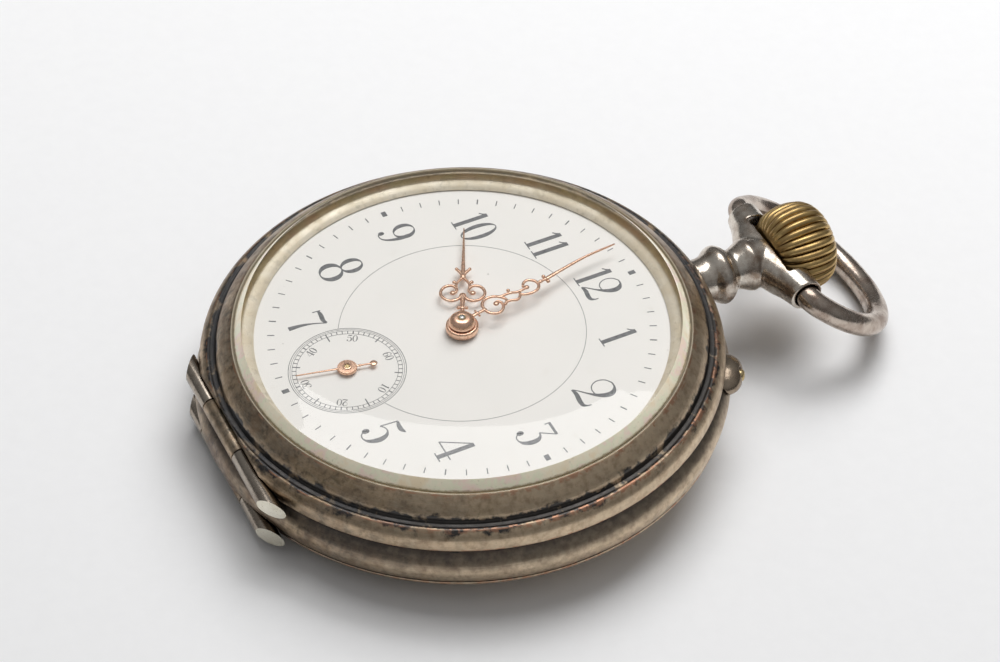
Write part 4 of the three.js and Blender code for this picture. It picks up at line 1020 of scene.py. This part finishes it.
for x, y, radius in (
        (1.83, 0, 0.24), (4.1, 0.04, 0.3), (4.78, -0.52, 0.2), (6.1, 0.84, 0.2), (7.84, 0.14, 0.27),
        (9.4, 0, 0.22), (10.0, 0, 0.24), (10.05, 0.4, 0.21), (10.05, -0.4, 0.21)):
    minute.knob(x, y, radius)
add_piece("minute_hand_carved", minute.placed(MINUTE_ANGLE), HANDS_LOOK, "minute_hand",
          ["minute_hand"], 50)

arbor_tip = turned([(0, 11.9), (0.3, 11.9), (0.3, 12.1), (0.22, 12.15), (0.1, 12.17), (0, 12.175)], None, 32)
add_piece("centre_arbor_tip", arbor_tip, HUB_STEEL_LOOK, "centre_wheel")

second = Hand(10.57, 0.07)
second.hub([(0.28, 10.42), (0.88, 10.42), (0.96, 10.47), (0.96, 10.6), (0.9, 10.68), (0.5, 10.7),
            (0.28, 10.7)])
second.hub([(0.3, 10.69), (0.44, 10.69), (0.44, 10.75), (0.4, 10.78), (0.3, 10.78)])
second.bar([(0.7, 0, 0.12), (2.0, 0, 0.09), (4.95, 0, 0.05)])
second.bar([(-0.7, 0, 0.13), (-1.4, 0, 0.09), (-2.4, 0, 0.09)])
second.knob(-2.57, 0, 0.38)
second.knob(-1.25, 0, 0.17)
add_piece("seconds_hand_carved", second.placed(SECONDS_ANGLE, SECONDS_CENTRE), HANDS_LOOK, "fourth_wheel",
          ["seconds_hand"], 50)

# ---- movement
NODE_BEVEL = 0.035
SPRING_NODES = {"mainspring", "click_spring", "hairspring"}
STEEL_NODES = {"winding_stem", "winding_pinion", "sliding_pinion", "setting_lever", "crown_wheel",
               "ratchet_wheel", "barrel_arbor", "click", "escape_wheel", "pallet_fork", "balance_staff",
               "cannon_pinion", "setting_wheel"}


def movement_look(node):
    if node in SPRING_NODES or "screw" in node:
        return BLUED_LOOK
    return STEEL_LOOK if node in STEEL_NODES else GILT_LOOK


for node, body_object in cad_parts.items():
    if body_object.hide_render:
        continue
    body_object.data.materials.clear()
    body_object.data.materials.append(movement_look(node))
    edges = body_object.modifiers.new("eased_edges", "BEVEL")
    edges.width = NODE_BEVEL * MM
    edges.segments = 2
    edges.limit_method = "ANGLE"
    edges.angle_limit = math.radians(40)
    edges.harden_normals = True

# ---- studio
# The watch rests on the dome of its back and on the tip of its bow, at these (y, z), so the floor leans.
BACK_REST = (-18.0, 0.55)
BOW_REST = (46.0, -3.63)
FLOOR_TILT = math.atan2(BOW_REST[1] - BACK_REST[1], BOW_REST[0] - BACK_REST[0])
FLOOR_HEIGHT = 0.42        # at BACK_REST, a little under it, so that the watch doesn't cut the floor
FLOOR_HALF = 3000.0


def floor_look():
    look = Look("studio_paper", roughness=0.9)
    grain = look.noise(0.6, 3)
    colour = look.mix(look.ramp(grain, 0.3, 0.7), (0.90, 0.90, 0.905), (0.885, 0.885, 0.89))
    look.bump((grain, 0.01))
    return look.done(colour)


floor_mesh = bpy.data.meshes.new("studio_floor")
corners = [(x, y, 0) for x, y in ((-1, -1), (1, -1), (1, 1), (-1, 1))]
tilt = (Matrix.Translation((0, BACK_REST[0], FLOOR_HEIGHT)) @ Matrix.Rotation(FLOOR_TILT, 4, "X")
        @ Matrix.Scale(FLOOR_HALF, 4))
floor_mesh.from_pydata([tilt @ Vector(c) for c in corners], [], [(0, 1, 2, 3)])
floor_mesh.transform(Matrix.Scale(MM, 4))
floor_mesh.materials.append(floor_look())
studio_floor = new_object("studio_floor", floor_mesh)


def softbox(name, place, azimuth, depth, width, watts, rise=90.0, mirrored=True):
    """A soft light at place, in metres. azimuth turns from +X towards +Y, and rise 90 looks straight down."""
    light = bpy.data.lights.new(name, "AREA")
    light.shape = "RECTANGLE"
    light.size, light.size_y = depth, width
    light.energy = watts
    lamp = new_object(name, light)
    lamp.location = place
    lamp.rotation_euler = (0, math.radians(90.0 - rise), math.radians(azimuth))
    lamp.visible_glossy = mirrored


softbox("overhead_box", (-0.19, 0.115, 0.52), 149.0, 0.3, 0.4, 1.25)
softbox("shadow_box", (-0.25, 0.33, 0.44), 128.0, 0.34, 0.4, 2.1, 55.0, False)

world = bpy.data.worlds.new("studio")
world.use_nodes = True
sky_nodes, sky_links = world.node_tree.nodes, world.node_tree.links
sky_height = sky_nodes.new("ShaderNodeSeparateXYZ")
sky_links.new(sky_nodes.new("ShaderNodeTexCoord").outputs["Generated"], sky_height.inputs[0])
sky_light = sky_nodes.new("ShaderNodeMapRange")
for socket, number in (("From Min", 0.0), ("From Max", 0.9), ("To Min", 0.08), ("To Max", 0.34)):
    sky_light.inputs[socket].default_value = number
sky_links.new(sky_height.outputs["Z"], sky_light.inputs["Value"])
sky_links.new(sky_light.outputs["Result"], sky_nodes["Background"].inputs["Strength"])
sky_nodes["Background"].inputs["Color"].default_value = (1.0, 1.0, 1.0, 1.0)
bpy.context.scene.world = world
bpy.context.scene.view_settings.view_transform = "Standard"

# The photograph's viewpoint: direction back to the camera from the watch, then a small roll.
CAMERA_PLACE = Vector((176.03, -79.82, 203.08)) * MM
CAMERA_BACK = Vector((0.6388, -0.3044, 0.7066)).normalized()
CAMERA_ROLL = math.radians(-0.4193)
CAMERA_LENS = 101.33
right = Vector((0, 0, 1)).cross(CAMERA_BACK).normalized()
up = CAMERA_BACK.cross(right)
right, up = (right * math.cos(CAMERA_ROLL) + up * math.sin(CAMERA_ROLL),
             up * math.cos(CAMERA_ROLL) - right * math.sin(CAMERA_ROLL))
camera_data = bpy.data.cameras.new("photo_camera")
camera_data.lens = CAMERA_LENS
camera_data.sensor_width = 36.0
camera_data.clip_start = 0.005
camera_data.clip_end = 20.0
camera = new_object("photo_camera", camera_data)
camera_turn = Matrix((right, up, CAMERA_BACK)).transposed().to_4x4()
camera.matrix_world = Matrix.Translation(CAMERA_PLACE) @ camera_turn
bpy.context.scene.camera = camera
